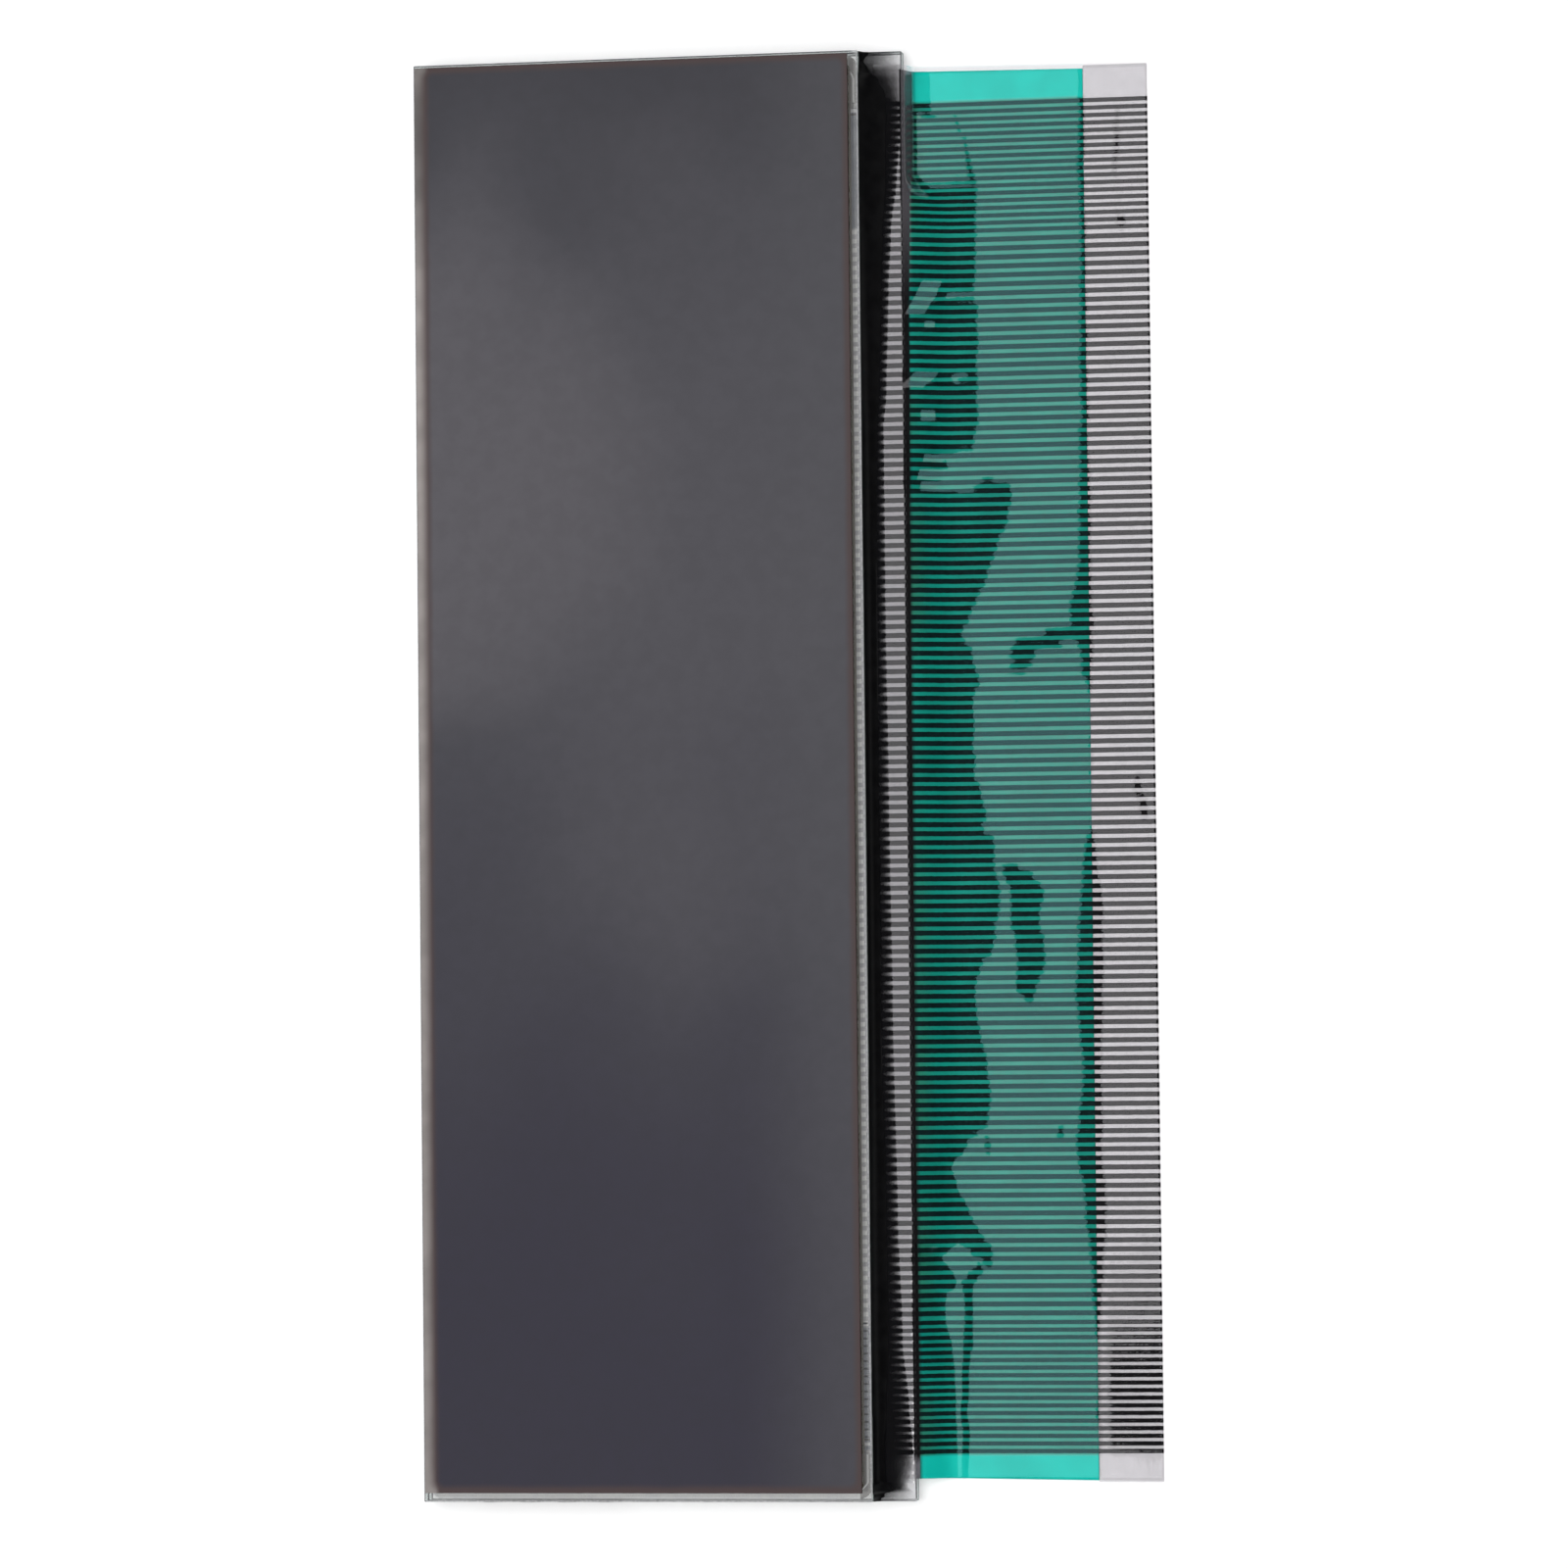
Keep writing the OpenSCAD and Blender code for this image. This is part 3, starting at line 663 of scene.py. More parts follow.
# Where the film lies level at last, along the ribbon
settle_line = [(47.0, 20.0), (43.9, 20.0), (43.6, 21.6), (41.9, 22.45), (39.1, 23.1), (35.6, 22.9),
               (31.4, 22.85), (31.0, 23.0), (22.5, 22.9), (21.9, 22.7), (20.6, 23.05),
               (19.6, 23.05), (18.95, 25.1), (18.2, 25.1), (16.8, 24.9), (15.0, 24.2),
               (12.9, 23.5), (11.2, 22.75), (9.8, 22.1), (9.2, 21.7), (7.8, 22.4), (7.2, 22.45),
               (6.2, 22.95), (4.6, 22.45), (-0.1, 22.45), (-1.5, 22.9), (-3.3, 23.2),
               (-3.8, 22.8), (-4.6, 23.8), (-5.8, 23.8), (-8.2, 24.05), (-11.8, 23.7),
               (-13.15, 22.7), (-14.2, 22.45), (-16.3, 22.45), (-17.1, 22.65), (-19.65, 23.1),
               (-21.7, 23.35), (-23.4, 23.1), (-25.0, 21.7), (-26.1, 20.6), (-27.7, 20.9),
               (-29.2, 21.7), (-29.9, 22.1), (-30.7, 22.5), (-31.8, 23.3), (-32.8, 23.3),
               (-33.3, 22.4), (-33.65, 21.9), (-38.05, 21.87), (-38.6, 21.62), (-42.5, 21.50),
               (-47.7, 21.50)]
# Where the steep curl ends; it is sharper at both ends of the ribbon and at a few crinkles
curl_line = [(47.0, 18.98), (39.7, 18.98), (38.9, 19.6), (38.0, 21.0), (37.4, 21.6), (32.3, 21.6), (31.6, 20.4), (30.9, 21.6),
             (26.7, 21.6), (26.1, 20.2), (25.5, 21.6), (20.4, 21.6), (19.3, 20.2), (18.3, 21.6),
             (-30.6, 21.6), (-31.3, 20.9), (-32.1, 19.9), (-32.8, 20.0), (-33.45, 20.6),
             (-34.0, 20.9), (-34.6, 20.2), (-35.4, 20.06), (-36.7, 20.1), (-38.05, 20.5),
             (-39.8, 20.73), (-42.5, 20.77), (-47.7, 20.84)]
# Level slivers inside the sloping part, and sloping ones further out: place, start, end
level_slivers = [[(32.0, 21.0, 21.2), (31.6, 19.9, 22.95), (31.2, 20.4, 20.6)],
                 [(26.5, 20.6, 20.9), (26.1, 19.4, 22.5), (25.7, 20.2, 20.4)],
                 [(-31.2, 20.9, 20.9), (-32.1, 19.83, 21.8), (-32.8, 19.96, 22.78),
                  (-33.45, 20.6, 21.8), (-34.0, 20.9, 21.06), (-34.6, 20.2, 21.3),
                  (-35.4, 20.06, 21.37), (-36.4, 20.08, 21.36), (-38.3, 20.5, 21.24),
                  (-42.5, 20.74, 21.22), (-47.7, 20.80, 21.26)]]
sloping_slivers = [[(44.2, 21.30, 21.42), (43.6, 21.50, 21.70), (41.9, 22.18, 22.40),
                    (39.1, 22.60, 23.1)],
                   [(-6.3, 24.0, 25.2), (-7.0, 24.4, 26.3), (-8.2, 24.75, 27.0),
                    (-9.6, 24.7, 26.6), (-11.8, 25.1, 27.0), (-12.9, 25.1, 26.98),
                    (-14.5, 25.07, 26.5), (-15.6, 25.9, 26.2)]]
# Small dents: along the ribbon and across it, half length, half width, how steep
dips = [(8.9, 28.3, 0.4, 1.2, 0.9), (8.3, 26.7, 0.4, 1.7, 0.9), (7.7, 25.65, 0.4, 1.05, 0.9),
        (7.1, 25.8, 0.35, 0.85, 0.8), (6.5, 25.45, 0.35, 0.85, 0.7), (4.6, 25.3, 0.3, 0.15, 1.3),
        (-24.6, 23.1, 0.35, 0.25, 1.0), (-25.3, 23.1, 0.35, 0.25, 1.0),
        (-24.2, 27.9, 0.5, 0.2, 1.1), (-1.2, 33.3, 0.7, 0.12, 1.6), (-2.7, 33.65, 0.9, 0.12, 1.7),
        (41.6, 32.4, 2.7, 0.10, 0.9), (36.3, 32.6, 0.4, 0.3, 0.9)]
# Crinkles: little level steps in the curl itself, same table
crinkles = [[(21.4, 20.9, 20.95), (21.1, 20.1, 22.9), (20.7, 20.3, 22.9), (20.3, 20.9, 23.0),
             (19.9, 20.4, 23.1), (19.3, 20.3, 23.1), (18.8, 20.5, 22.7), (18.4, 21.4, 21.5)]]
# The cover coat's end lifts the film, which slopes down beyond it
coat_slope = [(34.5, 29.9, 30.2), (25.0, 29.8, 30.25), (14.0, 29.6, 30.3), (10.0, 28.9, 30.4),
              (7.0, 29.7, 30.3), (4.6, 30.2, 30.2), (-3.8, 30.2, 30.2), (-5.4, 29.8, 30.5),
              (-10.0, 29.3, 30.8), (-15.0, 29.1, 30.8), (-20.0, 29.5, 30.6), (-24.5, 29.0, 30.6),
              (-29.0, 29.5, 30.8), (-34.0, 29.9, 30.5), (-38.0, 30.2, 30.3)]


def along(table, y, item=1):
    # Value of a table of places at a place along the ribbon, eased between its lines
    if y >= table[0][0]:
        return table[0][item]
    for upper, lower in zip(table, table[1:]):
        if y >= lower[0]:
            t = (upper[0] - y) / (upper[0] - lower[0])
            t = t * t * (3 - 2 * t)
            return upper[item] + (lower[item] - upper[item]) * t
    return table[-1][item]


def eased(value, low, high):
    t = np.clip((value - low) / (high - low), 0, 1)
    return t * t * (3 - 2 * t)


def window(values, start, end, soft):
    if end - start < 0.02:
        return np.zeros_like(values)
    return eased(values, start - soft, start + soft) * (1 - eased(values, end - soft, end + soft))


def strip_at(table, y):
    if not table[-1][0] <= y <= table[0][0]:
        return None
    return along(table, y), along(table, y, 2)


crinkle_draw = random.Random(17)
trace_shift = [crinkle_draw.uniform(-0.10, 0.10) for _ in range(200)]


def ribbon_heights(y):
    # Height of the ribbon's contact face above the table, at each column
    shift = trace_shift[int(max(0.0, FIRST_Y + 0.3 - y) / 0.58) % 200]
    settle_x = along(settle_line, y) + shift
    rest = 1.0 - 0.62 * (eased(np.array([y]), 38.2, 39.8) - eased(np.array([y]), 43.4, 43.9))[0]
    start_x = 19.3 - 0.5 * eased(np.array([y]), 43.8, 44.3)[0]
    slope = TAIL_SLOPE * rest * window(columns, start_x, settle_x, 0.16)
    for table in level_slivers:
        ends = strip_at(table, y)
        if ends:
            slope = slope * (1 - window(columns, ends[0] + shift / 2, ends[1] + shift / 2, 0.10))
    for table in sloping_slivers:
        ends = strip_at(table, y)
        if ends:
            slope = np.maximum(slope, TAIL_SLOPE * window(columns, ends[0] + shift, ends[1] + shift,
                                                          0.12))
    for dip_y, dip_x, half_l, half_w, depth in dips:
        share = 1 - ((y - dip_y) / half_l) ** 2
        if share > 0:
            reach = half_w * math.sqrt(share)
            slope = np.maximum(slope, depth * TAIL_SLOPE * min(1.0, 3 * share) * window(
                columns, dip_x + shift - reach, dip_x + shift + reach, 0.09))
    # The low end falls the last bit more steeply, so the curl above it can be gentler
    fold = 1 - eased(np.array([y]), -33.6, -32.6)[0]
    slope = slope + 0.42 * fold * window(columns, settle_x - 0.24, settle_x - 0.07, 0.05)
    tail = 0.034 * (1 - eased(np.array([y]), -42.0, -28.0)[0])
    tail = tail * (0.35 + 0.65 * eased(np.array([y]), -46.0, -44.6)[0])
    slope = slope + tail * window(columns, 30.9, 34.5, 0.25)
    x0, x1 = along(coat_slope, y) + shift, along(coat_slope, y, 2) + shift
    slope = slope + 0.75 * TAIL_SLOPE * window(columns, x0, x1 + 0.1, 0.12)
    ripple = np.array([0.0045 * noise.noise((x * 0.55, y * 0.33, 7.0)) for x in columns])
    slope = slope + ripple * eased(columns, 19.0, 20.5)
    # The curl: two arcs that meet halfway down, much tighter at the top end, with level crinkles
    bend_x = BEND_X + 0.10 * eased(np.array([y]), 38.2, 39.8)[0]
    run = min(along(curl_line, y), settle_x) - bend_x
    drop = LEDGE_FACE_Z - BOARD_FACE_Z - 0.2
    turn = min(2 * math.atan(drop / run), 1.4)
    half_way = 1 - np.abs(2 * np.clip(columns - bend_x, 0, run) / run - 1)
    curl = np.minimum(np.tan(turn * half_way), 1.4 * drop / run)
    for table in crinkles:
        ends = strip_at(table, y)
        if ends:
            level = 1 - window(columns, ends[0], ends[1], 0.10)
            slope, curl = slope * level, curl * level
    width = np.diff(columns)
    fall = np.concatenate([[0.0], np.cumsum((slope[1:] + slope[:-1]) / 2 * width)])
    steep = np.concatenate([[0.0], np.cumsum((curl[1:] + curl[:-1]) / 2 * width)])
    # Level ground at the lowest point, the ledge's bond at the top
    need = LEDGE_FACE_Z - BOARD_FACE_Z - fall.max()
    heights = LEDGE_FACE_Z - fall - steep * need / steep[-1]
    return np.maximum(heights, BOARD_FACE_Z)


def offset_rows(y, low, high):
    heights = ribbon_heights(y)
    lean = np.gradient(heights, columns)
    size = np.sqrt(1 + lean ** 2)
    rows = []
    for lift in (low, high):
        rows.append((columns - lean / size * lift, heights + lift / size))
    return rows


# The ribbon was cut a little askew, so both long edges climb towards the ledge
def skew(x):
    return 0.06 + 0.24 * (END_X - x) / (END_X - LEDGE_X)


def ribbon_sheet(name, rows_y, low, high, keep, finishes, start_line=None):
    # A closed sheet that follows the ribbon's curl between two levels
    kept = np.nonzero(keep)[0]
    n, m = len(kept), len(rows_y)
    points = [None] * (2 * n * m)
    for r, y in enumerate(rows_y):
        for level, (xs, zs) in enumerate(offset_rows(y, low, high)):
            if start_line:
                first, last = xs[kept[0]], xs[kept[0] + 8]
                share = (last - xs) / (last - first)
                moved = np.where(xs < last, last - share * (last - along(start_line, y)), xs)
                zs = np.interp(moved, xs, zs)
                xs = moved
            for k, c in enumerate(kept):
                edge_y = y + skew(xs[c]) if r in (0, m - 1) else y
                points[level * n * m + r * n + k] = (xs[c], edge_y, zs[c])
    faces, marks = [], []
    top = n * m
    for r in range(m - 1):
        for k in range(n - 1):
            a = r * n + k
            faces.append((top + a, top + a + n, top + a + n + 1, top + a + 1))
            faces.append((a, a + 1, a + n + 1, a + n))
            marks += [0, 1]
    for r in range(m - 1):
        a, b = r * n, r * n + n - 1
        faces.append((a, a + n, top + a + n, top + a))
        faces.append((b, top + b, top + b + n, b + n))
        marks += [1, 1]
    for k in range(n - 1):
        a, b = k, (m - 1) * n + k
        faces.append((a, top + a, top + a + 1, a + 1))
        faces.append((b, b + 1, top + b + 1, top + b))
        marks += [1, 1]
    return finish_piece(name, points, faces, finishes, marks, True)


contact_places = []
for k in range(2 * FINE_N + COARSE_N + 1):
    fall = (min(k, FINE_N) * FINE + max(0, min(k - FINE_N, COARSE_N)) * COARSE
            + max(0, k - FINE_N - COARSE_N) * FINE)
    fine = k <= FINE_N or k >= FINE_N + COARSE_N
    contact_places.append((FIRST_Y - fall, (FINE if fine else COARSE) * 0.57))

film_rows = [FILM_TOP_Y, 46.4, 46.0, 45.5, 45.0]
for y, width in contact_places:
    film_rows += [y + width / 2, y - width / 2]
film_rows += [-45.8, -46.3, -46.8, FILM_BOTTOM_Y]

# Carbon ink, screen printed: dull black, with slightly rough trace edges
carbon, tree = new_finish("carbon_ink")
(x, y, z), spot = place_of(tree)
grain = ramp(tree, cloud(tree, spot, 5.0, 3.0), 0.3, 0.7)
bare = blend(tree, grain, paint(9, 9, 10), paint(16, 16, 18))
coated = blend(tree, grain, paint(0, 24, 25), paint(2, 36, 37))
on_coat = calc(tree, "MULTIPLY", ramp(tree, x, 18.40, 18.6), ramp(tree, x, 30.27, 30.22))
tone = blend(tree, on_coat, bare, coated)
skin = put(tree, "ShaderNodeBsdfPrincipled", {"Base Color": tone, "Roughness": 0.7,
                                              "Specular IOR Level": 0.15})
put(tree, "ShaderNodeOutputMaterial", {"Surface": skin.outputs[0]})

ink_draw = random.Random(41)
points, faces = [], []
n = len(columns)
for place_y, width in contact_places:
    base = len(points)
    upper = offset_rows(place_y + width / 2, 0.0, TRACE_T)
    lower = offset_rows(place_y - width / 2, 0.0, TRACE_T)
    rough_up = [ink_draw.uniform(-1, 1) for _ in range(n)]
    rough_low = [ink_draw.uniform(-1, 1) for _ in range(n)]
    for rows, edge_y, rough in ((upper, place_y + width / 2, rough_up),
                                (lower, place_y - width / 2, rough_low)):
        for xs, zs in rows:
            for k in range(n):
                points.append((xs[k], edge_y + 0.009 * rough[k], zs[k]))
    ub, ut, lb, lt = base, base + n, base + 2 * n, base + 3 * n
    for k in range(n - 1):
        faces += [(ut + k, lt + k, lt + k + 1, ut + k + 1), (ub + k, ub + k + 1, lb + k + 1, lb + k),
                  (ub + k, ut + k, ut + k + 1, ub + k + 1), (lb + k, lb + k + 1, lt + k + 1, lt + k)]
    faces += [(ub, lb, lt, ut), (ub + n - 1, ut + n - 1, lt + n - 1, lb + n - 1)]
fit(finish_piece("carbon_trace_lines", points, faces, [carbon]), "carbon_ink", "ribbon_traces")

# Clear film: glossy on top, a little milky
film_top, tree = new_finish("glossy_film")
(x, y, z), spot = place_of(tree)
clear = put(tree, "ShaderNodeBsdfTransparent", {"Color": (0.915, 0.91, 0.915, 1)})
over_coat = calc(tree, "MULTIPLY", ramp(tree, x, 18.4, 18.6), ramp(tree, x, 30.27, 30.22))
shine = put(tree, "ShaderNodeBsdfGlossy", {"Roughness": 0.04})
ripple = cloud(tree, spot, 1.3, 2.0)
bump = put(tree, "ShaderNodeBump", {"Strength": 0.06, "Distance": 0.00005, "Height": ripple})
# The film stands a hair proud over each trace, which scallops the edges of its reflections
coarse_wave = calc(tree, "COSINE", calc(tree, "MULTIPLY", calc(
    tree, "SUBTRACT", FIRST_Y - FINE * FINE_N, y), 2 * math.pi / COARSE))
fine_wave = calc(tree, "COSINE", calc(tree, "MULTIPLY", calc(
    tree, "SUBTRACT", FIRST_Y, y), 2 * math.pi / FINE))
low_wave = calc(tree, "COSINE", calc(tree, "MULTIPLY", calc(
    tree, "SUBTRACT", LAST_Y, y), 2 * math.pi / FINE))
wave = calc(tree, "ADD", calc(tree, "MULTIPLY", coarse_wave, calc(
    tree, "MULTIPLY", ramp(tree, y, 36.2, 35.9), ramp(tree, y, -36.9, -36.6))),
    calc(tree, "MULTIPLY", fine_wave, calc(
        tree, "MULTIPLY", ramp(tree, y, 35.9, 36.2), ramp(tree, y, 44.9, 44.6))))
wave = calc(tree, "ADD", wave, calc(tree, "MULTIPLY", low_wave, calc(
    tree, "MULTIPLY", ramp(tree, y, -36.6, -36.9), ramp(tree, y, -45.6, -45.3))))
gap_share = ramp(tree, wave, -0.05, -0.45)
coat_gloss = blend(tree, gap_share, (0.42, 0.97, 1, 1), (0.92, 1, 1, 1))
gloss_tone = blend(tree, over_coat, (0.98, 0.98, 1, 1), coat_gloss)
tree.links.new(gloss_tone, shine.inputs["Color"])
tilt = put(tree, "ShaderNodeCombineXYZ", {0: calc(tree, "MULTIPLY", wave, -0.012)}).outputs[0]
lean = put(tree, "ShaderNodeVectorMath", {0: bump.outputs[0], 1: tilt}, operation="ADD").outputs[0]
# Small facets pressed level in the curl: along the ribbon, across it, half sizes and slant
facets = [(31.5, 19.50, 1.10, 0.58, 0.50), (26.0, 19.15, 0.50, 0.70, 0.90),
          (23.6, 19.70, 0.34, 0.42, 0.0), (29.7, 19.85, 0.20, 0.28, 0.0),
          (19.7, 20.00, 0.32, 0.95, 0.3), (18.9, 20.40, 0.32, 1.20, 0.0),
          (20.8, 20.00, 0.24, 0.60, 0.2)]
pressed = 0.0
for facet_y, facet_x, half_l, half_w, slant in facets:
    off_y = calc(tree, "SUBTRACT", y, facet_y)
    off_x = calc(tree, "SUBTRACT", calc(tree, "SUBTRACT", x, facet_x),
                 calc(tree, "MULTIPLY", off_y, slant))
    share = calc(tree, "MULTIPLY",
                 ramp(tree, calc(tree, "ABSOLUTE", off_y), half_l + 0.05, half_l - 0.05),
                 ramp(tree, calc(tree, "ABSOLUTE", off_x), half_w + 0.08, half_w - 0.08))
    pressed = calc(tree, "MAXIMUM", pressed, share)
level_up = put(tree, "ShaderNodeCombineXYZ", {2: calc(tree, "MULTIPLY", pressed, 60.0)}).outputs[0]
lean = put(tree, "ShaderNodeVectorMath", {0: lean, 1: level_up}, operation="ADD").outputs[0]
lean = put(tree, "ShaderNodeVectorMath", {0: lean}, operation="NORMALIZE").outputs[0]
tree.links.new(lean, shine.inputs["Normal"])
mix = put(tree, "ShaderNodeMixShader", {0: gloss_share(tree, 1.62), 1: clear.outputs[0],
                                        2: shine.outputs[0]})
# Bent hardest at the ledge's edge near the top end, the film has turned a little milky there
stressed = calc(tree, "MULTIPLY", ramp(tree, x, 18.14, 18.22), ramp(tree, x, 18.86, 18.66))
stressed = calc(tree, "MULTIPLY", stressed, ramp(tree, y, 30.0, 40.0, 0.0, 0.105))
milk = put(tree, "ShaderNodeBsdfDiffuse", {"Color": paint(214, 208, 218)})
mix = put(tree, "ShaderNodeMixShader", {0: stressed, 1: mix.outputs[0], 2: milk.outputs[0]})
put(tree, "ShaderNodeOutputMaterial", {"Surface": mix.outputs[0]})

film_under, tree = new_finish("film_underside")
(x, y, z), spot = place_of(tree)
haze = ramp(tree, cloud(tree, spot, 0.8, 3.0), 0.3, 0.7, 0.0, 0.003)
clear = put(tree, "ShaderNodeBsdfTransparent", {"Color": (0.985, 0.98, 0.985, 1)})
milk = put(tree, "ShaderNodeBsdfDiffuse", {"Color": paint(220, 216, 220)})
mix = put(tree, "ShaderNodeMixShader", {0: haze, 1: clear.outputs[0], 2: milk.outputs[0]})
put(tree, "ShaderNodeOutputMaterial", {"Surface": mix.outputs[0]})
everywhere = np.ones_like(columns, dtype=bool)
fit(ribbon_sheet("ribbon_clear_film", film_rows, TRACE_T + GAP, TRACE_T + FILM_T, everywhere,
                 [film_top, film_under]), "clear_film", "ribbon_film")

# Cover coat: green insulating ink, painted darker between the traces than over the plain margins:
# painted shade from the neighbouring traces
green, tree = new_finish("green_cover_coat")
(x, y, z), spot = place_of(tree)
thick = ramp(tree, cloud(tree, spot, 0.35, 2.0), 0.3, 0.7)
margin = blend(tree, thick, paint(0, 220, 200), paint(2, 232, 211))
# Between the traces the green is darker: painted shade
between_traces_painted_shade = blend(tree, thick, paint(0, 160, 138), paint(6, 172, 148))
rows_share = calc(tree, "MULTIPLY", ramp(tree, y, FIRST_Y + 0.35, FIRST_Y + 0.15),
                  ramp(tree, y, LAST_Y - 0.35, LAST_Y - 0.15))
tone = blend(tree, rows_share, margin, between_traces_painted_shade)
thin = calc(tree, "MULTIPLY", ramp(tree, x, 20.0, 18.5), ramp(tree, cloud(tree, spot, 0.12, 1.0),
                                                              0.35, 0.6, 0.0, 0.5))
tone = blend(tree, calc(tree, "MULTIPLY", thin, rows_share), tone, paint(62, 128, 84))
# Where it starts beside the ledge it is painted dark, a painted shadow under the curling film,
# fading in more gradually at the top end
start_painted_shadow = blend(tree, ramp(tree, y, 38.5, 43.0), calc(
    tree, "MULTIPLY", ramp(tree, x, 18.72, 18.44), 0.75), calc(
    tree, "MULTIPLY", ramp(tree, x, 19.05, 18.66), 0.75))
tone = blend(tree, start_painted_shadow, tone, paint(22, 46, 48))
skin = put(tree, "ShaderNodeBsdfPrincipled", {"Base Color": tone, "Roughness": 0.55,
                                              "Specular IOR Level": 0.2})
put(tree, "ShaderNodeOutputMaterial", {"Surface": skin.outputs[0]})
# Where the coat starts beside the ledge: printed slightly askew as well
cover_start = [(47.0, 18.74), (42.0, 18.74), (38.0, 18.68), (30.0, 18.56), (16.0, 18.48),
               (3.0, 18.45), (-10.0, 18.44), (-23.0, 18.42), (-36.0, 18.46), (-47.5, 18.46)]
cover_rows = [COVER_TOP_Y - 0.1] + [y for y in film_rows if y < COVER_TOP_Y]
cover_keep = (columns >= 18.349) & (columns <= COVER_END_X + 1e-6)
fit(ribbon_sheet("green_coat_layer", cover_rows, -COVER_T, -GAP, cover_keep, [green, green],
                 cover_start), "green_coat", "ribbon_cover_coat")

# Heat-seal adhesive: a clear layer under each end of the film, on the ledge and on the contacts
bond, tree = new_finish("heat_seal_adhesive")
(x, y, z), spot = place_of(tree)
haze = ramp(tree, cloud(tree, spot, 0.7, 2.0), 0.2, 0.8, 0.14, 0.18)
plain = calc(tree, "MAXIMUM", ramp(tree, y, 44.6, 44.8), ramp(tree, y, -45.3, -45.5))
plain = calc(tree, "MULTIPLY", plain, ramp(tree, x, 20.0, 19.0))
haze = calc(tree, "MULTIPLY", haze, calc(tree, "SUBTRACT", 1.0, calc(
    tree, "MULTIPLY", plain, 0.85)))
# Air trapped at the ledge's very edge shows as bright specks, more of them at the low end
trapped = calc(tree, "MULTIPLY", ramp(tree, cloud(tree, spot, 5.0, 2.0), 0.50, 0.58),
               calc(tree, "MULTIPLY", ramp(tree, x, 17.86, 18.0), ramp(tree, y, -18.0, -40.0)))
trapped = calc(tree, "MULTIPLY", trapped, ramp(tree, x, 18.12, 18.06))
# and a dark band is painted along the same edge under the film: a painted shadow where the film
# leaves the ledge
edge_painted_shadow = calc(tree, "MULTIPLY", ramp(tree, x, 18.03, 18.10), ramp(tree, x, 18.30, 18.26))
edge_painted_shadow = calc(tree, "MULTIPLY", edge_painted_shadow, ramp(tree, y, -46.2, -45.2, 0.35, 1.0))
haze = calc(tree, "MAXIMUM", haze, calc(tree, "MULTIPLY", trapped, 0.85))
haze = calc(tree, "MAXIMUM", haze, calc(tree, "MULTIPLY", edge_painted_shadow, 0.94))
clear = put(tree, "ShaderNodeBsdfTransparent", {"Color": (0.972, 0.97, 0.975, 1)})
milk_tone = blend(tree, edge_painted_shadow, paint(200, 199, 203), paint(16, 16, 18))
milk_tone = blend(tree, trapped, milk_tone, paint(255, 255, 255))
milk = put(tree, "ShaderNodeBsdfDiffuse", {"Color": milk_tone})
mix = put(tree, "ShaderNodeMixShader", {0: haze, 1: clear.outputs[0], 2: milk.outputs[0]})
put(tree, "ShaderNodeOutputMaterial", {"Surface": mix.outputs[0]})
fit(cut_sheet("ledge_bond_layer", (FILM_X, LEDGE_X - 0.02, FILM_BOTTOM_Y, FILM_TOP_Y), 1.32 + GAP,
              1.34 - 0.012, bond, 0.004), "bond_adhesive", "ledge_bond_adhesive")
fit(cut_sheet("free_end_bond_layer", (COVER_END_X, END_X, FILM_BOTTOM_Y, FILM_TOP_Y), 0.0,
              0.02 - GAP, bond, 0.004), "bond_adhesive", "board_end_adhesive")

# Ledge sealant. Black silicone run along the corner between front plate and ledge after bonding.
# It climbs the plate's cut edge, thins out over the bonded film, and tears raggedly at both ends.
CLIMB_Z, FILM_TOP_Z = 2.25, 1.41
# How far the thick bead reaches out over the ledge, along it
sealant_edge = [(48.0, 0.60), (47.42, 0.24), (47.0, 0.50), (46.64, 0.68), (46.38, 0.94),
                (46.2, 1.18), (45.85, 1.30), (45.3, 1.62), (44.6, 1.78), (42.2, 1.74),
                (39.6, 1.70), (35.7, 1.45), (31.8, 1.30), (25.3, 1.10), (22.7, 0.92),
                (9.7, 0.80), (-0.6, 0.75), (-16.2, 0.77), (-29.2, 1.00), (-37.7, 1.04),
                (-42.2, 0.86), (-44.8, 0.66), (-46.1, 0.68), (-47.0, 0.70), (-47.45, 1.10),
                (-47.68, 1.38), (-47.74, 1.00), (-47.92, 0.62), (-48.1, 0.66), (-48.22, 0.40),
                (-48.4, 0.34)]
sealant, tree = new_finish("black_silicone")
(x, y, z), spot = place_of(tree)
rub = cloud(tree, spot, 1.2, 3.0)
tone = blend(tree, ramp(tree, rub, 0.3, 0.7), paint(12, 12, 13), paint(18, 18, 19))
bump = put(tree, "ShaderNodeBump", {"Strength": 0.08, "Distance": 0.0001, "Height": rub})
skin = put(tree, "ShaderNodeBsdfPrincipled", {"Base Color": tone, "Roughness": 0.3, "IOR": 1.41,
                                              "Specular IOR Level": 0.12,
                                              "Normal": bump.outputs[0]})
put(tree, "ShaderNodeOutputMaterial", {"Surface": skin.outputs[0]})

sealant_y = sorted(set([48.0 - 0.10 * k for k in range(32)]
                       + [44.8 - 0.45 * k for k in range(199)]
                       + [-44.7 - 0.10 * k for k in range(37)] + [BOTTOM_Y]), reverse=True)
sealant_y = [y for y in sealant_y if y >= BOTTOM_Y]


def on_film(x, y):
    return x > FILM_X - 0.02 and FILM_BOTTOM_Y - 0.02 < y < FILM_TOP_Y + 0.02


def sealant_reach(y):
    ragged = 0.05 if y > 45.5 or y < -47.6 else 0.02
    return max(along(sealant_edge, y) + ragged * noise.noise((y * 2.3, 9.0, 0.0)), 0.12)


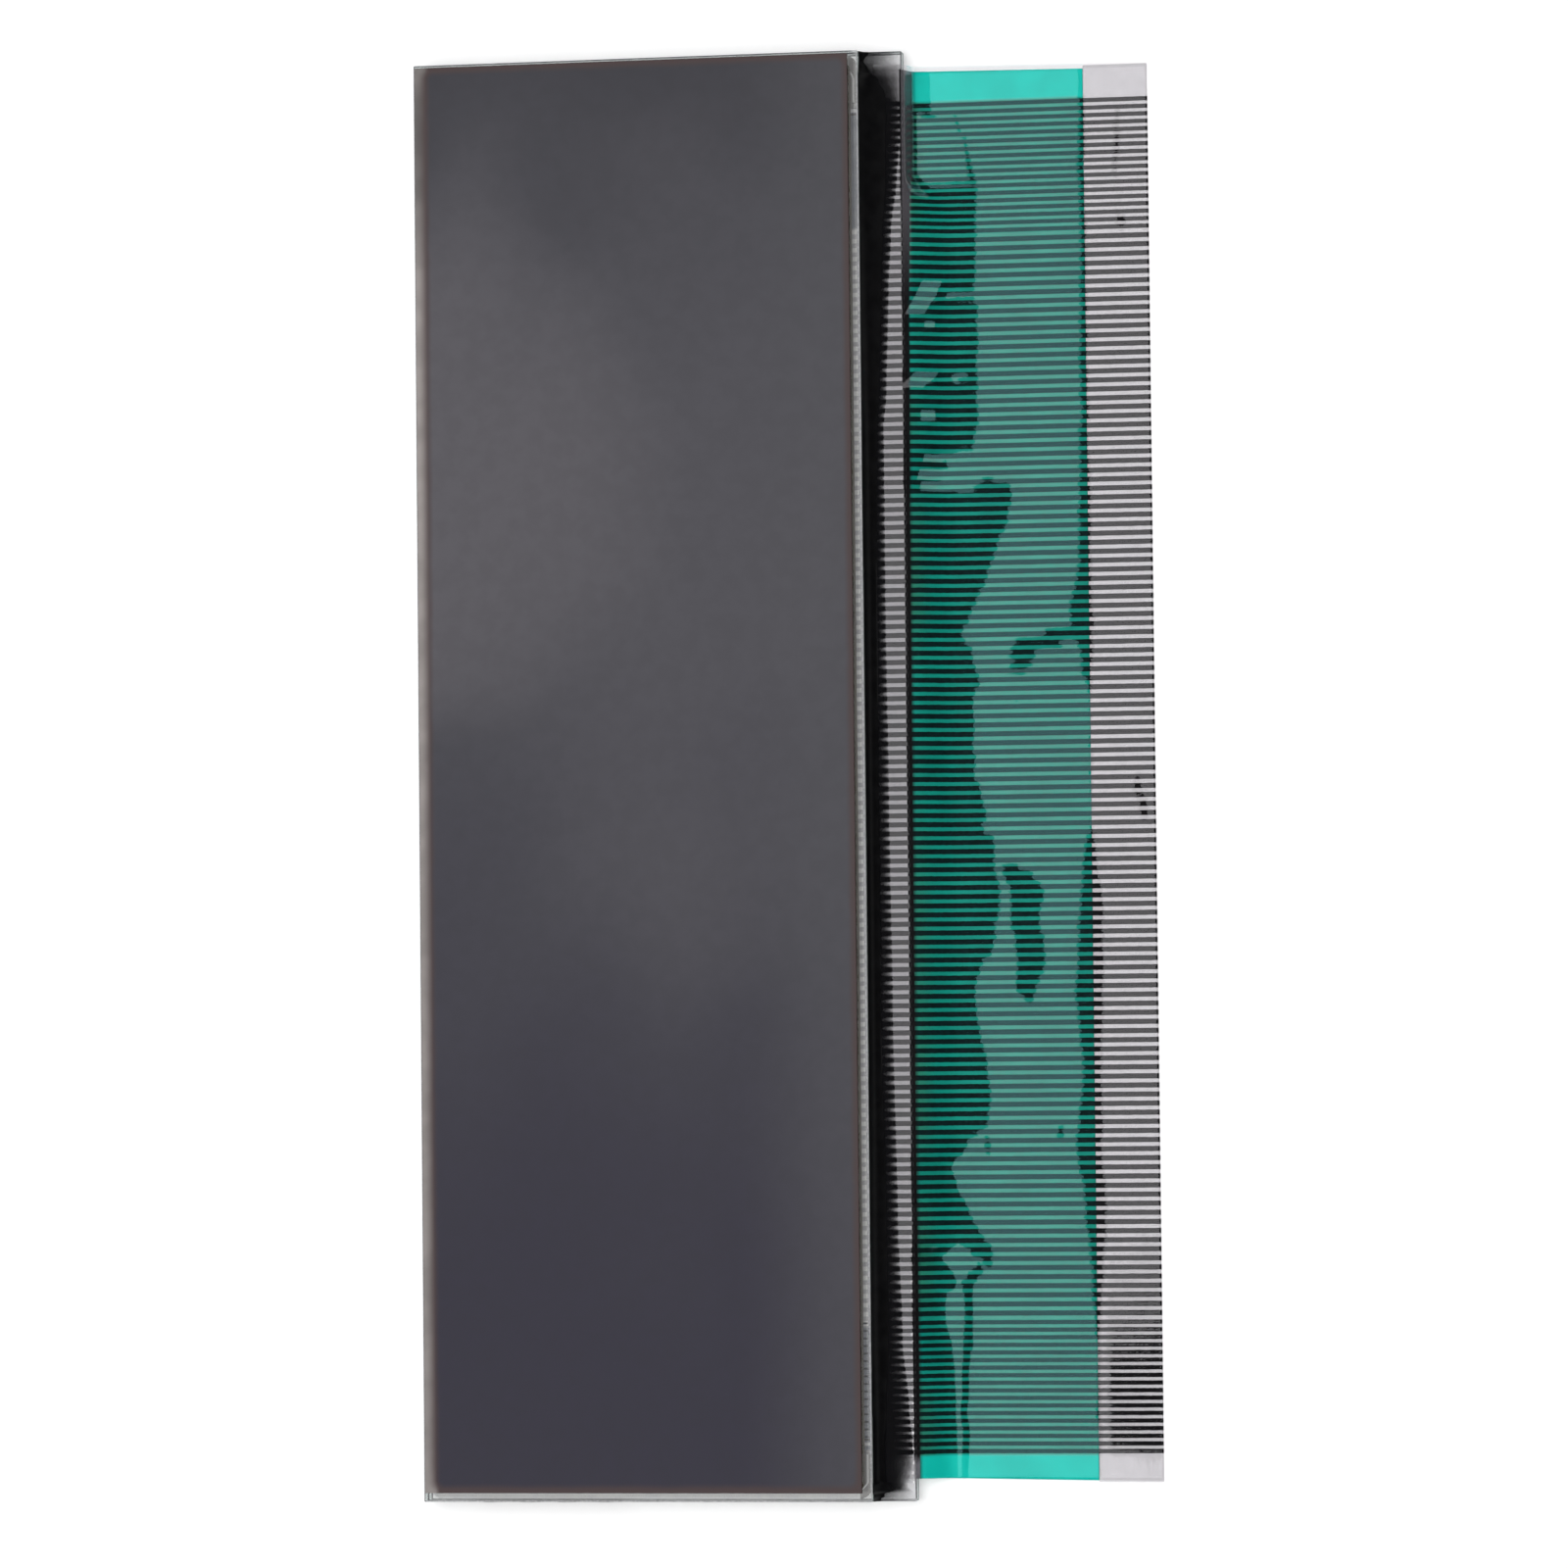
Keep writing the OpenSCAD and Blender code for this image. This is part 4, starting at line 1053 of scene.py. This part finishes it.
def closed_bed(points_low, points_high, across_n, along_n):
    # Faces of a closed sheet laid on a bed of points, row by row
    points = points_low + points_high
    top = across_n * along_n
    faces = []
    for r in range(along_n - 1):
        for k in range(across_n - 1):
            a = r * across_n + k
            faces.append((top + a, top + a + across_n, top + a + across_n + 1, top + a + 1))
            faces.append((a, a + 1, a + across_n + 1, a + across_n))
        a, b = r * across_n, r * across_n + across_n - 1
        faces.append((a, a + across_n, top + a + across_n, top + a))
        faces.append((b, top + b, top + b + across_n, b + across_n))
    for k in range(across_n - 1):
        a, b = k, (along_n - 1) * across_n + k
        faces.append((a, top + a, top + a + 1, a + 1))
        faces.append((b, b + 1, top + b + 1, top + b))
    return points, faces


steps = 20
low, high = [], []
for y in sealant_y:
    reach = sealant_reach(y)
    rise = (CLIMB_Z - 1.46) * min(1.0, 0.45 + 0.6 * reach)
    for k in range(steps + 1):
        u = k / steps
        x = FRONT_X + 0.003 + u * reach
        support = FILM_TOP_Z + 0.003 if on_film(x, y) else 1.30 + GAP
        foot = 0.055 * max(0.0, 1 - u ** 4) + 0.004
        top = max(1.42 if reach > 0.82 else 1.34, support) + foot + rise * (1 - u) ** 2.2
        low.append((x, y, support))
        high.append((x, y, min(top, CLIMB_Z)))
points, faces = closed_bed(low, high, steps + 1, len(sealant_y))
fit(finish_piece("ledge_sealant_bead", points, faces, [sealant], None, True), "black_sealant",
    "ledge_sealant")

# The bead's thin foot: a dark translucent sheet that fades out over the glass, further over the
# traces
foot_finish, tree = new_finish("thin_dark_foot")
smear = put(tree, "ShaderNodeVertexColor", layer_name="smear").outputs["Color"]
smear = put(tree, "ShaderNodeSeparateColor", {0: smear})
(x, y, z), spot = place_of(tree)
rows_here = calc(tree, "MULTIPLY", ramp(tree, y, FIRST_Y + 0.45, FIRST_Y + 0.2),
                 ramp(tree, y, LAST_Y - 0.45, LAST_Y - 0.2))
coarse_wave = calc(tree, "COSINE", calc(tree, "MULTIPLY", calc(
    tree, "SUBTRACT", FIRST_Y - FINE * FINE_N, y), 2 * math.pi / COARSE))
fine_wave = calc(tree, "COSINE", calc(tree, "MULTIPLY", calc(
    tree, "SUBTRACT", FIRST_Y, y), 2 * math.pi / FINE))
low_wave = calc(tree, "COSINE", calc(tree, "MULTIPLY", calc(
    tree, "SUBTRACT", LAST_Y, y), 2 * math.pi / FINE))
wave = blend(tree, ramp(tree, y, 35.9, 36.2), blend(tree, ramp(tree, y, -36.6, -36.9), coarse_wave,
                                                    low_wave), fine_wave)
pull = calc(tree, "MULTIPLY", calc(tree, "MULTIPLY", calc(tree, "ADD", wave, 1.0), 0.22), rows_here)
grain = ramp(tree, cloud(tree, spot, 1.6, 3.0), 0.3, 0.7, -0.04, 0.04)
out = calc(tree, "ADD", calc(tree, "SUBTRACT", smear.outputs[0], pull), grain)
out = calc(tree, "MINIMUM", calc(tree, "MAXIMUM", out, 0.0), 1.0)
out = calc(tree, "POWER", out, calc(tree, "MULTIPLY", smear.outputs[2], 4.0))
bare = calc(tree, "ADD", smear.outputs[1], calc(tree, "MULTIPLY", out, calc(
    tree, "SUBTRACT", 1.0, smear.outputs[1])))
cover = calc(tree, "SUBTRACT", 1.0, calc(tree, "POWER", bare, 2.2))
skin = put(tree, "ShaderNodeBsdfPrincipled", {"Base Color": paint(13, 13, 15), "Roughness": 0.5,
                                              "IOR": 1.41, "Specular IOR Level": 0.04})
clear = put(tree, "ShaderNodeBsdfTransparent", {"Color": (1, 1, 1, 1)})
mix = put(tree, "ShaderNodeMixShader", {0: cover, 1: clear.outputs[0], 2: skin.outputs[0]})
put(tree, "ShaderNodeOutputMaterial", {"Surface": mix.outputs[0]})
unseen, tree = new_finish("clear_foot_underside")
clear = put(tree, "ShaderNodeBsdfTransparent", {"Color": (1, 1, 1, 1)})
put(tree, "ShaderNodeOutputMaterial", {"Surface": clear.outputs[0]})
# Along the ledge: how far out it ends, how bare it starts, how late it clears
foot_line = [(48.0, 2.60, 0.30, 0.9), (47.0, 2.68, 0.26, 0.9), (46.5, 2.78, 0.20, 1.2),
             (46.0, 2.78, 0.18, 1.9), (45.0, 2.78, 0.18, 2.0), (44.7, 2.74, 0.12, 2.0),
             (44.1, 2.72, 0.10, 2.1), (42.2, 2.64, 0.10, 2.0), (39.6, 2.42, 0.10, 1.6),
             (35.7, 1.98, 0.10, 1.2), (31.8, 1.78, 0.10, 1.0), (25.3, 1.58, 0.10, 1.0),
             (22.7, 1.36, 0.10, 1.0), (9.7, 1.36, 0.10, 1.0), (-0.6, 1.44, 0.10, 1.0),
             (-16.2, 1.56, 0.10, 1.0), (-29.2, 1.74, 0.10, 1.0), (-37.7, 1.98, 0.08, 1.3),
             (-42.2, 2.36, 0.06, 1.8), (-44.8, 2.56, 0.05, 2.3), (-45.4, 2.60, 0.04, 2.6),
             (-46.1, 2.54, 0.05, 2.4), (-46.6, 2.40, 0.04, 2.5), (-47.0, 2.30, 0.03, 2.6),
             (-47.4, 2.24, 0.03, 2.2), (-47.62, 2.40, 0.10, 1.3), (-47.76, 2.70, 0.42, 0.7),
             (-48.0, 2.70, 0.50, 0.7), (-48.4, 2.70, 0.62, 0.7)]
low, high, marks = [], [], []
steps = 16
for y in sealant_y:
    start = FRONT_X + sealant_reach(y) - 0.03
    end = max(min(FRONT_X + along(foot_line, y), LEDGE_X - 0.04), start + 0.1)
    for k in range(steps + 1):
        u = k / steps
        x = start + u * (end - start)
        support = FILM_TOP_Z + 0.004 if on_film(x, y) else 1.30 + GAP
        low.append((x, y, support))
        high.append((x, y, support + 0.003 + 0.03 * (1 - u) ** 2))
        marks.append((u, along(foot_line, y, 2), along(foot_line, y, 3) / 4, 1.0))
points, faces = closed_bed(low, high, steps + 1, len(sealant_y))
upper = [0 if min(face) >= len(low) else 1 for face in faces]
foot = finish_piece("ledge_sealant_foot", points, faces, [foot_finish, unseen], upper, True)
smears = foot.data.color_attributes.new("smear", "FLOAT_COLOR", "POINT")
for k, mark in enumerate(marks + marks):
    smears.data[k].color = mark
fit(foot, "black_sealant", "ledge_sealant")

# A dark sheet fills the corner under the curling film, beside the ledge's edge: painted shade. It is
# black along the traces and turns grey at both margins.
corner_shade_fill, tree = new_finish("corner_shade_fill")
(x, y, z), spot = place_of(tree)
tone = blend(tree, ramp(tree, y, 44.4, 45.4), paint(10, 10, 12), paint(36, 40, 44))
tone = blend(tree, ramp(tree, y, -45.3, -46.0), tone, paint(112, 112, 118))
skin = put(tree, "ShaderNodeBsdfPrincipled", {"Base Color": tone, "Roughness": 0.4, "IOR": 1.41,
                                              "Specular IOR Level": 0.2})
put(tree, "ShaderNodeOutputMaterial", {"Surface": skin.outputs[0]})
low, high = [], []
rows_y = [FILM_TOP_Y - 0.06 - (FILM_TOP_Y - FILM_BOTTOM_Y - 0.36) * k / 240 for k in range(241)]
under = np.array([LEDGE_X + 0.004 + 0.05 * k for k in range(12)])
for y in rows_y:
    heights = np.interp(under, columns, ribbon_heights(y)) - 0.012
    width = along(cover_start, y) - LEDGE_X + 0.06
    for k, x in enumerate(under):
        u = (x - under[0]) / (under[-1] - under[0])
        top = float(np.interp(under[0] + u * width, columns, ribbon_heights(y))) - 0.024
        low.append((under[0] + u * width, y, min(top - 0.02, float(heights[0]) - 0.45 + 0.2 * u)))
        high.append((under[0] + u * width, y, top))
points, faces = closed_bed(low, high, len(under), len(rows_y))
fit(finish_piece("ledge_edge_painted_shade", points, faces, [corner_shade_fill], None, True), "black_sealant",
    "ledge_sealant")

# Sizes. The whole model's box as dressed.
low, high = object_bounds()
